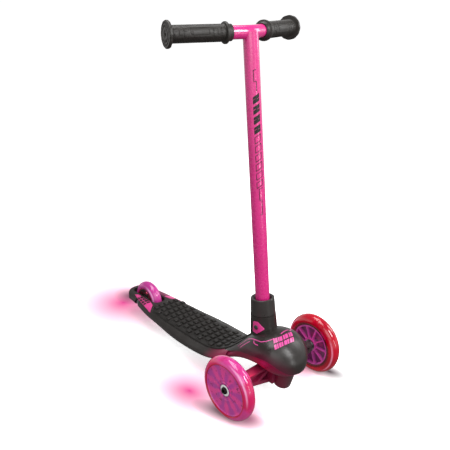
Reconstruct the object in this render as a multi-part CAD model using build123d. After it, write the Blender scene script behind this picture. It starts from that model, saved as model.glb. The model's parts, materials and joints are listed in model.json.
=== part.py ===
from build123d import *
import os
from math import atan2, cos, degrees, pi, radians, sin, sqrt, tan
from typing import NamedTuple

# Child's three-wheel kick scooter, millimetres, +Z up, +X forwards, +Y to the rider's left.
# Every place along the length is first given from the front axle ("station") and then moved by
# FRAME_X, so that the origin ends up on the floor under the middle of the whole length.

# ---------------------------------------------------------------- driving dimensions
NOSE_TIP = 65.0            # the nose's foremost point, from the front axle
TAIL_END = -458.0          # the deck's last point, from the front axle
FRAME_X = -(NOSE_TIP + TAIL_END) / 2

FRONT_WHEEL_R = 60.0       # 120 mm wheels
FRONT_WHEEL_W = 26.0
FRONT_HALF_TRACK = 113.0   # middle of the body to a front wheel's mid-plane
REAR_WHEEL_R = 41.5
REAR_WHEEL_W = 24.0
WHEELBASE = 401.0

AXLE_R = 4.0               # M8 axles
BEARING_R = 11.0           # 608 bearings, 22 x 8 x 7
BEARING_W = 7.0
RUN_FIT = 0.04             # radial clearance where a bearing turns on its axle
SIDE_GAP = 0.4             # gap beside a turning piece

STEM_R = 13.1
TUBE_WALL = 1.5
RAKE = 5.1                 # the stem leans back by this, degrees
STEM_FOOT_X = -17.6        # where the stem's axis meets the floor
BAR_Z = 649.3              # height of the crossbar's axis at the T
BAR_R = 11.0
BAR_HALF = 145.9           # length of one side of the bar, T to the grip's end
BAR_SWEEP = 17.0           # each side is swept back by this, degrees

GRIP_INNER = 35.0          # from the T to the grip's inner end
GRIP_R = 14.2
GRIP_FLANGE_R = 21.5
GRIP_FLANGE_W = 5.5
GRIP_STOP_R = 17.5
GRIP_STOP_W = 5.0
GRIP_COLLAR_R = 13.5
GRIP_COLLAR_W = 8.0

HEAD_BASE_R = 25.4
HEAD_TOP_R = 21.8
HEAD_BASE_Z = 118.0
HEAD_SEAM_Z = 156.0
HEAD_TOP_Z = 187.0
STEM_BOTTOM_Z = 98.0
STEM_FIT = 0.1             # the stem's slip fit in its socket
SOCKET_FLOOR = 4.0

STEER_TILT = 18.0          # the steering axis leans forwards by this, degrees
STEER_X = 20.0             # a point of the steering axis, from the front axle
STEER_Z = 30.0
BOSS_R = 17.0
BOSS_GAP = 0.6             # between the turning boss and the skirt round it
BOSS_LOW = -0.5            # along the steering axis from that point
BOSS_HIGH = 42.0
KINGPIN_R = 4.0
SEAT_HIGH = 66.0

SHELL_WALL = 3.4           # moulded wall of the nose
SKIN_GAP = 0.15            # between the nose and the deck's collar inside it
MAT_T = 2.2
BLOCK_H = 2.6
BLOCK_SINK = 1.2           # a block's root inside the mat
WHEEL_SLOT_GAP = 4.0       # beside the rear wheel
BUTTON_R = 4.2
BUTTON_TURN = 11.0         # from the right side towards the front, degrees
BUTTON_FIT = 0.3
BUTTON_Z = 136.5
BUTTON_PROUD = 2.2
BUTTON_SEAT = 8.3          # the button's inner end, from the stem's axis
SPRING_REST = 3.6          # the spring's inner leg, clear of the pressed button
SPRING_W = 7.0
SPRING_T = 0.6
SPRING_GAP = 1.6           # between the spring's back leg and the stem's wall
SPRING_TOP = 16.0          # the spring's bow, above the button's line
FLANGE_T = 1.6             # the button's flange inside the stem
BADGE_T = 1.2
BADGE_TIP = 16.0           # forwards from the button's line
BADGE_BACK = 7.0
BADGE_HALF = 11.5

SKIRT_WALL = 3.0
SKIRT_LAP = 6.0            # the skirt reaches this far up inside the nose
SPINE_HALF = 12.0
SEAT_LOW = 45.0            # along the steering axis
SEAT_PLATE = 5.0
BUSH_LOW = 14.0
BUSH_R = 13.0
BOSS_ROUND = 5.0
HEX_R = 7.2                # corner radius of a hexagonal head or nut
HEAD_T = 5.0
NUT_T = 6.0
KINGPIN_HEAD = 1.5

ARM_TOP = 71.0
ARM_LOW = 37.0
ARM_END = 96.0
ARM_DEPTH = 20.0
WEB_T = 4.0
AXLE_BOSS_R = 8.5
AXLE_BOSS_END = 99.0
AXLE_ROOT = 60.0           # inner end of a front stub axle
NUT_Y = 74.0

FRONT_SEAT_R = 41.0        # where a tyre sits on its core
REAR_SEAT_R = 26.0
SEAT_EDGE = 0.6            # small chamfer of a tyre's inner edge
COVER_R = 47.8
COVER_LOW = 8.4
COVER_HIGH = 10.6
CORE_WALL = 3.0
HUB_R = 13.6
MAGNET_R = 8.6
BOLT_HEAD_R = 6.4

TAIL_ROUND_R = 34.0
TAIL_MID_Z = 44.0
SLOT_CORNER_R = 12.0
SLOT_END_GAP = 6.0
REAR_HEAD_Y = 26.0         # where the rear axle's head and nut bear on the tail arms
HEX_POCKET_R = 8.6
INLAY_PROUD = 0.3
INLAY_DEPTH = 0.9

POCKET_ROWS = 8
POCKET_X = -322.0
POCKET_PITCH = 24.0
POCKET_Y = 18.0
RIB_T = 2.6
DECK_SKIN = 5.0
PAD_X0 = -235.0
PAD_X1 = -165.0
PAD_HALF = 24.0
PAD_Z = 29.4

MAT_REAR = -344.0
MAT_FRONT = -66.0
BLOCK_PITCH_X = 17.6
BLOCK_PITCH_Y = 13.0
BLOCK_L = 11.0
BLOCK_W = 10.0
BLOCK_EDGE = 1.0

HEAD_SEAM_R = 23.4
COLLAR_EDGE = 0.8
SCREW_R = 1.8
SCREW_HEAD_R = 3.6
SCREW_HEAD_T = 2.4
SCREW_SINK = 3.0
SCREW_X = (-114.0, -94.0)
SCREW_Y = 24.0
BAR_BEND_R = 45.0
BAR_END = 142.0            # the tube's end, from the T
PLUG_L = 12.0


class Station(NamedTuple):
    """One cross-section of the body: place, half width, bottom, top, squareness and top taper."""
    x: float
    half: float
    low: float
    high: float
    square: float
    taper: float


# The body's outer form from tail to nose tip.
BODY = [
    Station(-474, 25, 40, 53, 3.4, 0.16),
    Station(-440, 33, 36, 53, 3.4, 0.16),
    Station(-400, 38, 34, 54, 3.4, 0.20),
    Station(-350, 48, 32, 52, 3.6, 0.26),
    Station(-300, 54, 31, 50, 3.6, 0.30),
    Station(-245, 61, 30, 49, 3.6, 0.34),
    Station(-190, 64, 31, 49, 3.6, 0.36),
    Station(-150, 63, 32, 50, 3.4, 0.36),
    Station(-120, 60, 35, 54, 3.0, 0.34),
    Station(-95, 53, 40, 66, 2.6, 0.26),
    Station(-70, 46, 47, 86, 2.4, 0.14),
    Station(-45, 47, 52, 110, 2.3, 0.04),
    Station(-20, 50, 54, 127, 2.2, 0.0),
    Station(5, 52, 54, 133, 2.2, 0.0),
    Station(28, 49, 54, 130, 2.2, 0.0),
    Station(46, 39, 57, 119, 2.1, 0.0),
    Station(58, 25, 64, 105, 2.1, 0.0),
    Station(63.5, 13, 72, 94, 2.0, 0.0),
]
# Lower rim of the nose, then lower edge of the skirt under it, as (station, height).
RIM = [(-150, 40), (-128, 50), (-87, 65), (-46, 85), (-22, 92), (10, 99), (30, 98), (46, 88), (58, 76), (80, 66)]
SKIRT = [(-150, 20), (-112, 38), (-84, 52), (-55, 65), (-29, 74), (-5, 80), (16, 82), (32, 74), (48, 62), (80, 52)]
NOSE_REAR = -124.0         # rear edge of the nose moulding
APRON_END = -84.0          # the lower moulding is flush with the nose back to here


def place(x, y=0.0, z=0.0):
    """A point of the scooter from its station, side and height."""
    return Vector(x + FRAME_X, y, z)


def stem_x(z):
    """Station of the stem's axis at a height."""
    return STEM_FOOT_X - z * tan(radians(RAKE))


def stem_plane(z):
    """Plane across the stem's axis at a height."""
    return Plane(place(stem_x(z), 0, z), x_dir=(cos(radians(RAKE)), 0, sin(radians(RAKE))),
                 z_dir=(-sin(radians(RAKE)), 0, cos(radians(RAKE))))


def steer_plane(s=0.0):
    """Plane across the steering axis, s along it from its lowest named point."""
    t = radians(STEER_TILT)
    return Plane(place(STEER_X + s * sin(t), 0, STEER_Z + s * cos(t)), x_dir=(cos(t), 0, -sin(t)),
                 z_dir=(sin(t), 0, cos(t)))


def rod(plane, radius, length, bore=0.0):
    """Round bar, or a tube where bore is given, standing on a plane."""
    bar = plane * Pos(0, 0, length / 2) * Cylinder(radius, length)
    return bar - plane * Pos(0, 0, length / 2) * Cylinder(bore, length + 2) if bore else bar


def lying(x, y, z, radius, length, bore=0.0):
    """Round bar along +Y that starts at y."""
    return rod(Plane(place(x, y, z), x_dir=(1, 0, 0), z_dir=(0, 1, 0)), radius, length, bore)


def section(s, grow):
    """Closed cross-section face of the body, grown outwards by grow."""
    half, height = s.half + grow, (s.high - s.low) / 2 + grow
    mid = (s.high + s.low) / 2
    power = 2 / s.square
    points = []
    for i in range(20):
        a = 2 * pi * (i + 0.5) / 20
        c, d = cos(a), sin(a)
        y = half * abs(c) ** power * (1 if c > 0 else -1)
        z = height * abs(d) ** power * (1 if d > 0 else -1)
        points.append((y * (1 - s.taper * ((z / height + 1) / 2) ** 2), mid + z))
    plane = Plane(place(s.x), x_dir=(0, 1, 0), z_dir=(1, 0, 0))
    return plane * make_face(Spline(*points, periodic=True))


def body_form(grow=0.0, stations=BODY):
    """The body's outer form through the given stations, grown (or shrunk) evenly."""
    tip = [Vertex(*place(NOSE_TIP + grow, 0, 84))] if stations[-1] is BODY[-1] else []
    return Solid.make_loft([section(s, grow).face().outer_wire() for s in stations] + tip)


def above(curve, lift=0.0, top=400.0):
    """Everything above a side-view curve, from side to side."""
    pts = [(place(x).X, z + lift) for x, z in curve]
    edge = Spline(*pts)
    box = Polyline(pts[-1], (pts[-1][0], top), (pts[0][0], top), pts[0])
    return extrude(Plane.XZ * make_face([edge, box]), 90, both=True)


def one_solid(shape):
    """The main solid of a result, without loose faces."""
    return max(shape.solids(), key=lambda solid: solid.volume)


def curve_z(curve, x):
    """Height of a side-view curve at a station, read in straight runs."""
    (x0, z0), (x1, z1) = next((p, q) for p, q in zip(curve, curve[1:]) if p[0] <= x <= q[0])
    return z0 + (z1 - z0) * (x - x0) / (x1 - x0)


def slab(x0, x1, y0, y1, z0, z1):
    """Box between two stations, two sides and two heights."""
    return Pos(place((x0 + x1) / 2, (y0 + y1) / 2, (z0 + z1) / 2)) * Box(x1 - x0, y1 - y0, z1 - z0)


def prism(outline, z0, z1):
    """Vertical prism of a plan outline given as (station, side) points."""
    face = make_face(Polyline(*[(place(x).X, y) for x, y in outline], close=True))
    return Pos(0, 0, z0) * extrude(face, z1 - z0)


parts = {}


# ---------------------------------------------------------------- body forms
FRONT = BODY[7:]
HULL = body_form()
HULL_IN = body_form(-SHELL_WALL, FRONT)
COLLAR_OUT = body_form(-SHELL_WALL - SKIN_GAP, FRONT)
COLLAR_IN = body_form(-SHELL_WALL - SKIN_GAP - SKIRT_WALL, FRONT)
MAT_OUT = body_form(MAT_T, BODY[2:12])
TAIL_OUT = body_form(INLAY_PROUD, BODY[:6])
TAIL_IN = body_form(-INLAY_DEPTH, BODY[:6])

REAR_X = -WHEELBASE
REAR_HALF_GAP = REAR_WHEEL_W / 2 + WHEEL_SLOT_GAP
SLOT_FRONT = REAR_X + REAR_WHEEL_R + SLOT_END_GAP
SLOT_REAR = REAR_X - REAR_WHEEL_R - SLOT_END_GAP
HEAD_LEAN = cos(radians(RAKE))
SOCKET_LOW = STEM_BOTTOM_Z - SOCKET_FLOOR


def head_radius(z):
    """Outer radius of the head tube at a height, below the seam."""
    return HEAD_BASE_R + (HEAD_SEAM_R - HEAD_BASE_R) * (z - HEAD_BASE_Z) / (HEAD_SEAM_Z - HEAD_BASE_Z)


def head_piece(low, high, low_r, high_r):
    """Tapered round piece about the stem's axis between two heights."""
    length = (high - low) / HEAD_LEAN
    return stem_plane(low) * Pos(0, 0, length / 2) * Cone(low_r, high_r, length)


def stem_bore(radius, low, high):
    """Round hole about the stem's axis between two heights."""
    return rod(stem_plane(low), radius, (high - low) / HEAD_LEAN)


def surface_z(x, y):
    """Height of the body's top surface at a station and side."""
    a, b = next((p, q) for p, q in zip(BODY, BODY[1:]) if p.x <= x <= q.x)
    t = (x - a.x) / (b.x - a.x)
    half, low, high, square, taper = ((1 - t) * p + t * q for p, q in zip(a[1:], b[1:]))
    rise = 1.0
    for _ in range(8):
        across = min(abs(y) / (half * (1 - taper * ((rise + 1) / 2) ** 2)), 0.999)
        rise = (1 - across ** square) ** (1 / square)
    return (high + low) / 2 + (high - low) / 2 * rise


# ---------------------------------------------------------------- deck and nose
def tail_outline():
    """Plan outline that rounds the tail's end."""
    r = TAIL_ROUND_R
    return Pos(place(TAIL_END + r)) * Cylinder(r, 300) + slab(TAIL_END + r, 120, -90, 90, -150, 150)


def wheel_slot():
    """Opening for the rear wheel, with rounded ends."""
    length, width = SLOT_FRONT - SLOT_REAR, 2 * REAR_HALF_GAP
    outline = RectangleRounded(length, width, SLOT_CORNER_R)
    return Pos(place((SLOT_FRONT + SLOT_REAR) / 2)) * extrude(outline, 150)


def underside_pockets():
    """Rows of pockets that leave ribs under the deck, with a solid pad in the middle."""
    pockets = []
    for row in range(POCKET_ROWS):
        x = POCKET_X + row * POCKET_PITCH
        for y in (-2 * POCKET_Y, -POCKET_Y, 0, POCKET_Y, 2 * POCKET_Y):
            if y == 0 and PAD_X0 - POCKET_PITCH < x < PAD_X1 + POCKET_PITCH / 2:
                continue
            pockets.append(slab(x, x + POCKET_PITCH - RIB_T, y - POCKET_Y / 2 + RIB_T / 2,
                                y + POCKET_Y / 2 - RIB_T / 2, 0,
                                surface_z(x + POCKET_PITCH / 2, y) - DECK_SKIN))
    return pockets


def mount_pad():
    """Flat pad under the deck's middle."""
    return slab(PAD_X0, PAD_X1, -PAD_HALF, PAD_HALF, PAD_Z, PAD_Z + 10)


def inlay_outline(side):
    """Plan outline of the inlay on one tail arm."""
    pts = [(SLOT_FRONT + 16, 43), (SLOT_FRONT, REAR_HALF_GAP + 8), (SLOT_FRONT - 14, REAR_HALF_GAP + 4),
           (REAR_X - 14, REAR_HALF_GAP + 4), (REAR_X - 22, REAR_HALF_GAP + 9), (REAR_X, 31), (REAR_X + 32, 37)]
    return prism([(x, y * side) for x, y in pts], TAIL_MID_Z, 90)


def tail_inlay(side):
    """Coloured panel let into the top of one tail arm."""
    return (TAIL_OUT - TAIL_IN) & inlay_outline(side)


def screw_places():
    """Station, side, head height and tip height of each screw under the nose's rear edge."""
    return [(x, y, curve_z(SKIRT, x) + SCREW_SINK, curve_z(RIM, x) - 1.5) for x in SCREW_X
            for y in (-SCREW_Y, SCREW_Y)]


def deck_screws():
    """Four pan-head screws with crossed slots, up into the lower moulding."""
    screws = []
    for x, y, z0, z1 in screw_places():
        head = Pos(place(x, y, z0 + SCREW_HEAD_T / 2)) * Cylinder(SCREW_HEAD_R, SCREW_HEAD_T)
        shank = Pos(place(x, y, (z0 + z1) / 2)) * Cylinder(SCREW_R, z1 - z0)
        cross = Pos(place(x, y, z0 + 0.5)) * (Box(4.6, 1, 1.2) + Box(1, 4.6, 1.2))
        screws.append(head + shank - cross)
    return screws


def deck_board():
    """Lower moulding: tail fork, ribbed deck, skirt inside the nose, and the steering seat."""
    board = (HULL & slab(TAIL_END - 30, NOSE_REAR, -90, 90, 0, 200) & tail_outline())
    board = board - wheel_slot() - underside_pockets() + mount_pad()
    board = board - ((TAIL_OUT - TAIL_IN) & (inlay_outline(1) + inlay_outline(-1)))
    skirt = (COLLAR_OUT - COLLAR_IN) & above(SKIRT) & slab(NOSE_REAR - 4, 90, -90, 90, 0, 200)
    skirt = skirt - above(RIM, SKIRT_LAP)
    ceiling = (rod(steer_plane(SEAT_LOW), 90, SEAT_PLATE) & COLLAR_OUT & slab(-30, 90, -90, 90, 0, 200))
    seat = rod(steer_plane(SEAT_LOW), BOSS_R + 2, SEAT_HIGH - SEAT_LOW) & COLLAR_OUT
    apron = (HULL & slab(NOSE_REAR - 1, APRON_END, -90, 90, 0, 200) & above(SKIRT)) - above(RIM)
    spine = slab(NOSE_REAR - 4, -26, -SPINE_HALF, SPINE_HALF, 36, 120) & COLLAR_OUT & above(SKIRT)
    spine = spine - above(RIM, SKIRT_LAP)
    board = board + apron + skirt + ceiling + seat + spine
    board = board - rod(steer_plane(SEAT_LOW - 5), KINGPIN_R, 60)
    board = board - rod(steer_plane(BOSS_LOW), BOSS_R + BOSS_GAP, BOSS_HIGH + 0.1 - BOSS_LOW)
    board = board - rod(stem_plane(SOCKET_LOW - SKIN_GAP), head_radius(SOCKET_LOW) + SKIN_GAP, 60)
    for x, y, z0, z1 in screw_places():
        board = board - Pos(place(x, y, (z0 + z1) / 2)) * Cylinder(SCREW_R, z1 - z0)
        board = board - Pos(place(x, y, z0 + SCREW_HEAD_T - 15)) * Cylinder(SCREW_HEAD_R + 0.2, 30)
    board = board - lying(REAR_X, -60, REAR_WHEEL_R, AXLE_R, 120)
    for start in (-REAR_HEAD_Y - 20, REAR_HEAD_Y):
        board = board - lying(REAR_X, start, REAR_WHEEL_R, HEX_POCKET_R, 20)
    return one_solid(board)


def nose_shell():
    """Upper moulding: the domed nose, its neck and the head tube."""
    dome = HULL & above(RIM) & slab(NOSE_REAR, NOSE_TIP + 20, -90, 90, 0, 300)
    socket = head_piece(SOCKET_LOW, HEAD_SEAM_Z, head_radius(SOCKET_LOW), HEAD_SEAM_R)
    shell = dome - HULL_IN + (socket & (HULL + stem_bore(40, HEAD_BASE_Z, 300)))
    shell = shell - stem_bore(STEM_R + STEM_FIT, STEM_BOTTOM_Z, 300)
    return one_solid(shell - button_hole(BUTTON_R + BUTTON_FIT))


def lock_collar():
    """Separate ring at the head tube's top, with a flared mouth round the stem."""
    ring = head_piece(HEAD_SEAM_Z, HEAD_TOP_Z, HEAD_SEAM_R - 0.3, HEAD_TOP_R)
    ring = chamfer(ring.edges().filter_by(GeomType.CIRCLE), COLLAR_EDGE)
    mouth = head_piece(HEAD_TOP_Z - 9, HEAD_TOP_Z + 0.5, STEM_R + STEM_FIT, HEAD_TOP_R - 3.4)
    return ring - stem_bore(STEM_R + STEM_FIT, HEAD_SEAM_Z - 5, 300) - mouth


def grip_mat():
    """Rubber tread mat with staggered raised blocks."""
    edge = [(MAT_REAR, 30), (-334, 37), (-300, 39), (-240, 40), (-190, 41), (-150, 40), (-125, 37), (-105, 33),
            (-88, 28), (MAT_FRONT, 20)]
    outline = edge + [(x, -y) for x, y in reversed(edge)]
    mat = (MAT_OUT - HULL) & prism(outline, 38, 130)
    rows = int((MAT_FRONT - MAT_REAR - 8) / BLOCK_PITCH_X)
    blocks = []
    for row in range(rows):
        x = MAT_REAR + 9 + row * BLOCK_PITCH_X
        half = next(y for q, y in reversed(edge) if q <= x + BLOCK_PITCH_X / 2) - BLOCK_W / 2 - 1.5
        shift = BLOCK_PITCH_Y / 2 if row % 2 else 0.0
        count = int((half - shift) / BLOCK_PITCH_Y)
        for i in range(count + 1):
            y = i * BLOCK_PITCH_Y + shift
            climb = (surface_z(x + 3, y) - surface_z(x - 3, y)) / 6
            fall = (surface_z(x, y + 3) - surface_z(x, y - 3)) / 6
            top = surface_z(x, y) + MAT_T + BLOCK_H
            block = Box(BLOCK_L, BLOCK_W, BLOCK_H + BLOCK_SINK)
            block = chamfer(block.edges().filter_by(Axis.Z, reverse=True).group_by(Axis.Z)[-1], BLOCK_EDGE)
            block = Pos(0, 0, -(BLOCK_H + BLOCK_SINK) / 2) * block
            for side in ((1, -1) if y else (1,)):
                turn = Rot(side * degrees(atan2(fall, 1)), -degrees(atan2(climb, 1)), 0)
                blocks.append(Pos(place(x, side * y, top)) * turn * block)
    return one_solid(mat + blocks)


# ---------------------------------------------------------------- steering
def kingpin():
    """Bolt that the truck turns on."""
    head = extrude(steer_plane(KINGPIN_HEAD) * RegularPolygon(HEX_R, 6), HEAD_T)
    return head + rod(steer_plane(KINGPIN_HEAD), KINGPIN_R, SEAT_HIGH + NUT_T + 2 - KINGPIN_HEAD)


def hex_nut(plane, bore):
    """Hexagonal nut standing on a plane."""
    return extrude(plane * RegularPolygon(HEX_R, 6), NUT_T) - rod(plane.offset(-1), bore, NUT_T + 2)


def pivot_washer():
    """Thrust washer between truck and seat."""
    return rod(steer_plane(BOSS_HIGH + 0.1), BOSS_R - 1.5, SEAT_LOW - BOSS_HIGH - 0.1, KINGPIN_R)


def steer_bushing():
    """Rubber bush round the kingpin that brings the truck back to the middle."""
    return rod(steer_plane(BUSH_LOW + 0.5), BUSH_R - 0.5, BOSS_HIGH + 0.1 - BUSH_LOW - 0.5, KINGPIN_R)


def arm_outline(side, inset=0.0):
    """Front-view outline of one truck arm as (side, height) points."""
    pts = [(8, ARM_TOP - inset), (8, ARM_LOW + inset), (26, ARM_LOW + inset),
           (ARM_END, FRONT_WHEEL_R - 7 + inset), (ARM_END, FRONT_WHEEL_R + 7 - inset), (30, ARM_TOP - inset)]
    return [(y * side, z) for y, z in pts]


def arm_pockets(side):
    """Triangular pockets between the ribs on the arm's front and back."""
    lower = [(22, 43), (22, 61), (48, 49)]
    upper = [(26, 66), (54, 51.5), (66, 54.5), (66, 65)]
    outer = [(70, 55.5), (88, 58), (88, 63.5), (70, 65)]
    return [[(y * side, z) for y, z in pocket] for pocket in (lower, upper, outer)]


def across(points, x0, x1):
    """Prism of a front-view outline between two stations."""
    face = make_face(Polyline(*points, close=True))
    return extrude(Plane(place(x0), x_dir=(0, 1, 0), z_dir=(1, 0, 0)) * face, x1 - x0)


def truck_hanger():
    """Moulded truck: pivot boss and two ribbed triangular arms."""
    boss = rod(steer_plane(BOSS_LOW), BOSS_R, BOSS_HIGH - BOSS_LOW)
    boss = fillet(boss.edges().sort_by(Axis.Z)[0], BOSS_ROUND)
    body = boss
    for side in (-1, 1):
        arm = across(arm_outline(side), -ARM_DEPTH / 2, ARM_DEPTH / 2)
        for pocket in arm_pockets(side):
            arm = arm - across(pocket, WEB_T / 2, 40) - across(pocket, -40, -WEB_T / 2)
        start = ARM_END - 8 if side > 0 else -AXLE_BOSS_END
        body = body + arm + lying(0, start, FRONT_WHEEL_R, AXLE_BOSS_R, AXLE_BOSS_END - ARM_END + 8)
        body = body + across([(0, ARM_TOP), (0, ARM_LOW), (side * 24, ARM_LOW), (side * 24, ARM_TOP)], 4, 19)
    body = body - rod(steer_plane(BOSS_HIGH), BOSS_R + 8, 20)
    body = body - rod(steer_plane(BOSS_LOW - 10), KINGPIN_R + RUN_FIT, 90)
    body = body - rod(steer_plane(BUSH_LOW), BUSH_R, 60)
    body = body - rod(steer_plane(BOSS_LOW - 10), HEX_R + 1.2, KINGPIN_HEAD + HEAD_T + 0.4 - BOSS_LOW + 10)
    for side in (-1, 1):
        start = AXLE_ROOT if side > 0 else -AXLE_BOSS_END - 1
        body = body - lying(0, start, FRONT_WHEEL_R, AXLE_R, AXLE_BOSS_END + 1 - AXLE_ROOT)
        nut = side * (NUT_Y + (NUT_T + 0.4) / 2)
        body = body - Pos(place(0, nut, FRONT_WHEEL_R)) * Box(ARM_DEPTH + 4, NUT_T + 0.4, 2 * HEX_R * 0.88)
    return body


# ---------------------------------------------------------------- wheels
def tyre(radius, width, seat_r, step_r, step_u):
    """Cast tyre with a round crown; a stepped seat takes the cover disc."""
    crown = width / 2
    base = radius - crown
    lip = (max(step_r, base), sqrt(crown ** 2 - max(step_r - base, 0) ** 2))
    arc = ThreePointArc((base, -crown), (radius, 0), lip)
    flat = [(step_r, crown)] if step_r < base else []
    rest = Polyline(lip, *flat, (step_r, step_u), (seat_r, step_u), (seat_r, -crown + SEAT_EDGE),
                    (seat_r + SEAT_EDGE, -crown), (base, -crown))
    return make_face([arc, rest])


def ring(points):
    """Closed profile from (radius, outboard) points."""
    return make_face(Polyline(*points, close=True))


def spokes(count, r0, r1, u0, u1, thick):
    """Radial ribs of a wheel core, about +Y."""
    rib = Pos((r0 + r1) / 2, (u0 + u1) / 2, 0) * Box(r1 - r0, u1 - u0, thick)
    return [Rot(0, i * 360 / count, 0) * rib for i in range(count)]


def wheel_core(seat_r, hub_r, u_in, u_out, hub_out, count):
    """Wheel core about +Y: barrel, web, ribs and hub with bearing seats."""
    barrel = revolve(ring([(seat_r - CORE_WALL, u_in), (seat_r, u_in), (seat_r, u_out), (seat_r - CORE_WALL, u_out)]),
                     Axis.Y)
    web = revolve(ring([(hub_r - 1, -1.5), (seat_r - 1, -1.5), (seat_r - 1, 1.5), (hub_r - 1, 1.5)]), Axis.Y)
    hub = revolve(ring([(BEARING_R, u_in), (hub_r, u_in), (hub_r, hub_out), (BEARING_R, hub_out),
                        (BEARING_R, hub_out - BEARING_W - 0.2), (BEARING_R - 2, hub_out - BEARING_W - 0.2),
                        (BEARING_R - 2, u_in + BEARING_W + 0.2), (BEARING_R, u_in + BEARING_W + 0.2)]), Axis.Y)
    return barrel + web + hub + spokes(count, hub_r - 0.5, seat_r - 1, u_in + 0.8, u_out - 0.8, RIB_T)


def bearing(u):
    """Ball bearing about +Y: outer race, shields and inner race, its middle at u."""
    half = BEARING_W / 2
    pts = [(AXLE_R + RUN_FIT, u - half), (6.2, u - half), (6.2, u - half + 0.5), (9.4, u - half + 0.5),
           (9.4, u - half), (BEARING_R, u - half), (BEARING_R, u + half), (9.4, u + half),
           (9.4, u + half - 0.5), (6.2, u + half - 0.5), (6.2, u + half), (AXLE_R + RUN_FIT, u + half)]
    return revolve(ring(pts), Axis.Y)


def led_ring(inner, outer, u0, u1, led_r):
    """Ring board round the hub with four lamps."""
    board = revolve(ring([(inner, u0), (outer, u0), (outer, u1), (inner, u1)]), Axis.Y)
    lamps = [Rot(0, 45 + 90 * i, 0) * Pos(led_r, u1 + 1.2, 0) * Box(5, 3, 4) for i in range(4)]
    return board + lamps


def set_wheel(solid, x, y, z, side):
    """Puts a wheel piece made about +Y at its place, outboard towards side."""
    solid = solid if side > 0 else mirror(solid, Plane.XZ)
    return Pos(place(x, y, z)) * solid


def front_wheel(side, word):
    """All pieces of one front wheel and its stub axle."""
    y, z = side * FRONT_HALF_TRACK, FRONT_WHEEL_R
    face = FRONT_WHEEL_W / 2 - 1.1

    def put(solid):
        return set_wheel(solid, 0, y, z, side)

    parts[f"front_tyre_{word}"] = put(revolve(tyre(FRONT_WHEEL_R, FRONT_WHEEL_W, FRONT_SEAT_R, COVER_R + 0.2,
                                                   COVER_LOW), Axis.Y))
    core = wheel_core(FRONT_SEAT_R, HUB_R, -face, COVER_LOW, COVER_HIGH, 10)
    led = led_ring(HUB_R, HUB_R + 9, 1.5, 3.0, HUB_R + 5)
    parts[f"front_core_{word}"] = put(core - led)
    parts[f"front_led_{word}"] = put(led)
    cover = revolve(ring([(HUB_R, COVER_LOW), (COVER_R, COVER_LOW), (COVER_R, COVER_HIGH - 0.8),
                          (COVER_R - 0.8, COVER_HIGH), (HUB_R, COVER_HIGH)]), Axis.Y)
    parts[f"front_cover_{word}"] = put(cover)
    inner_u, outer_u = -face + BEARING_W / 2, COVER_HIGH - BEARING_W / 2
    parts[f"front_bearings_{word}"] = put(Compound(children=[bearing(inner_u), bearing(outer_u)]))
    gap_low, gap_high = inner_u + BEARING_W / 2 + SIDE_GAP, outer_u - BEARING_W / 2 - SIDE_GAP
    magnet = revolve(ring([(AXLE_R, gap_low), (6, gap_low), (6, gap_low + 2), (MAGNET_R, gap_low + 2),
                           (MAGNET_R, gap_high - 2), (6, gap_high - 2), (6, gap_high), (AXLE_R, gap_high)]), Axis.Y)
    parts[f"front_magnet_{word}"] = put(magnet)
    spacer = revolve(ring([(AXLE_R, AXLE_BOSS_END - FRONT_HALF_TRACK), (6.1, AXLE_BOSS_END - FRONT_HALF_TRACK),
                           (6.1, -face - SIDE_GAP / 2), (AXLE_R, -face - SIDE_GAP / 2)]), Axis.Y)
    parts[f"front_spacer_{word}"] = put(spacer)
    head_u = COVER_HIGH + SIDE_GAP / 2
    bolt = revolve(ring([(0, AXLE_ROOT - FRONT_HALF_TRACK), (AXLE_R, AXLE_ROOT - FRONT_HALF_TRACK), (AXLE_R, head_u),
                         (BOLT_HEAD_R, head_u), (BOLT_HEAD_R, head_u + 2.2), (BOLT_HEAD_R - 1, head_u + 3),
                         (0, head_u + 3)]), Axis.Y)
    socket = Plane((0, head_u + 0.8, 0), x_dir=(1, 0, 0), z_dir=(0, 1, 0)) * RegularPolygon(3, 6)
    parts[f"front_axle_{word}"] = put(bolt - extrude(socket, 5))
    nut_plane = Plane(place(0, NUT_Y + 0.2 if side > 0 else -NUT_Y - 0.2 - NUT_T, z), x_dir=(1, 0, 0),
                      z_dir=(0, 1, 0))
    parts[f"front_nut_{word}"] = hex_nut(nut_plane, AXLE_R)


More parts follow.
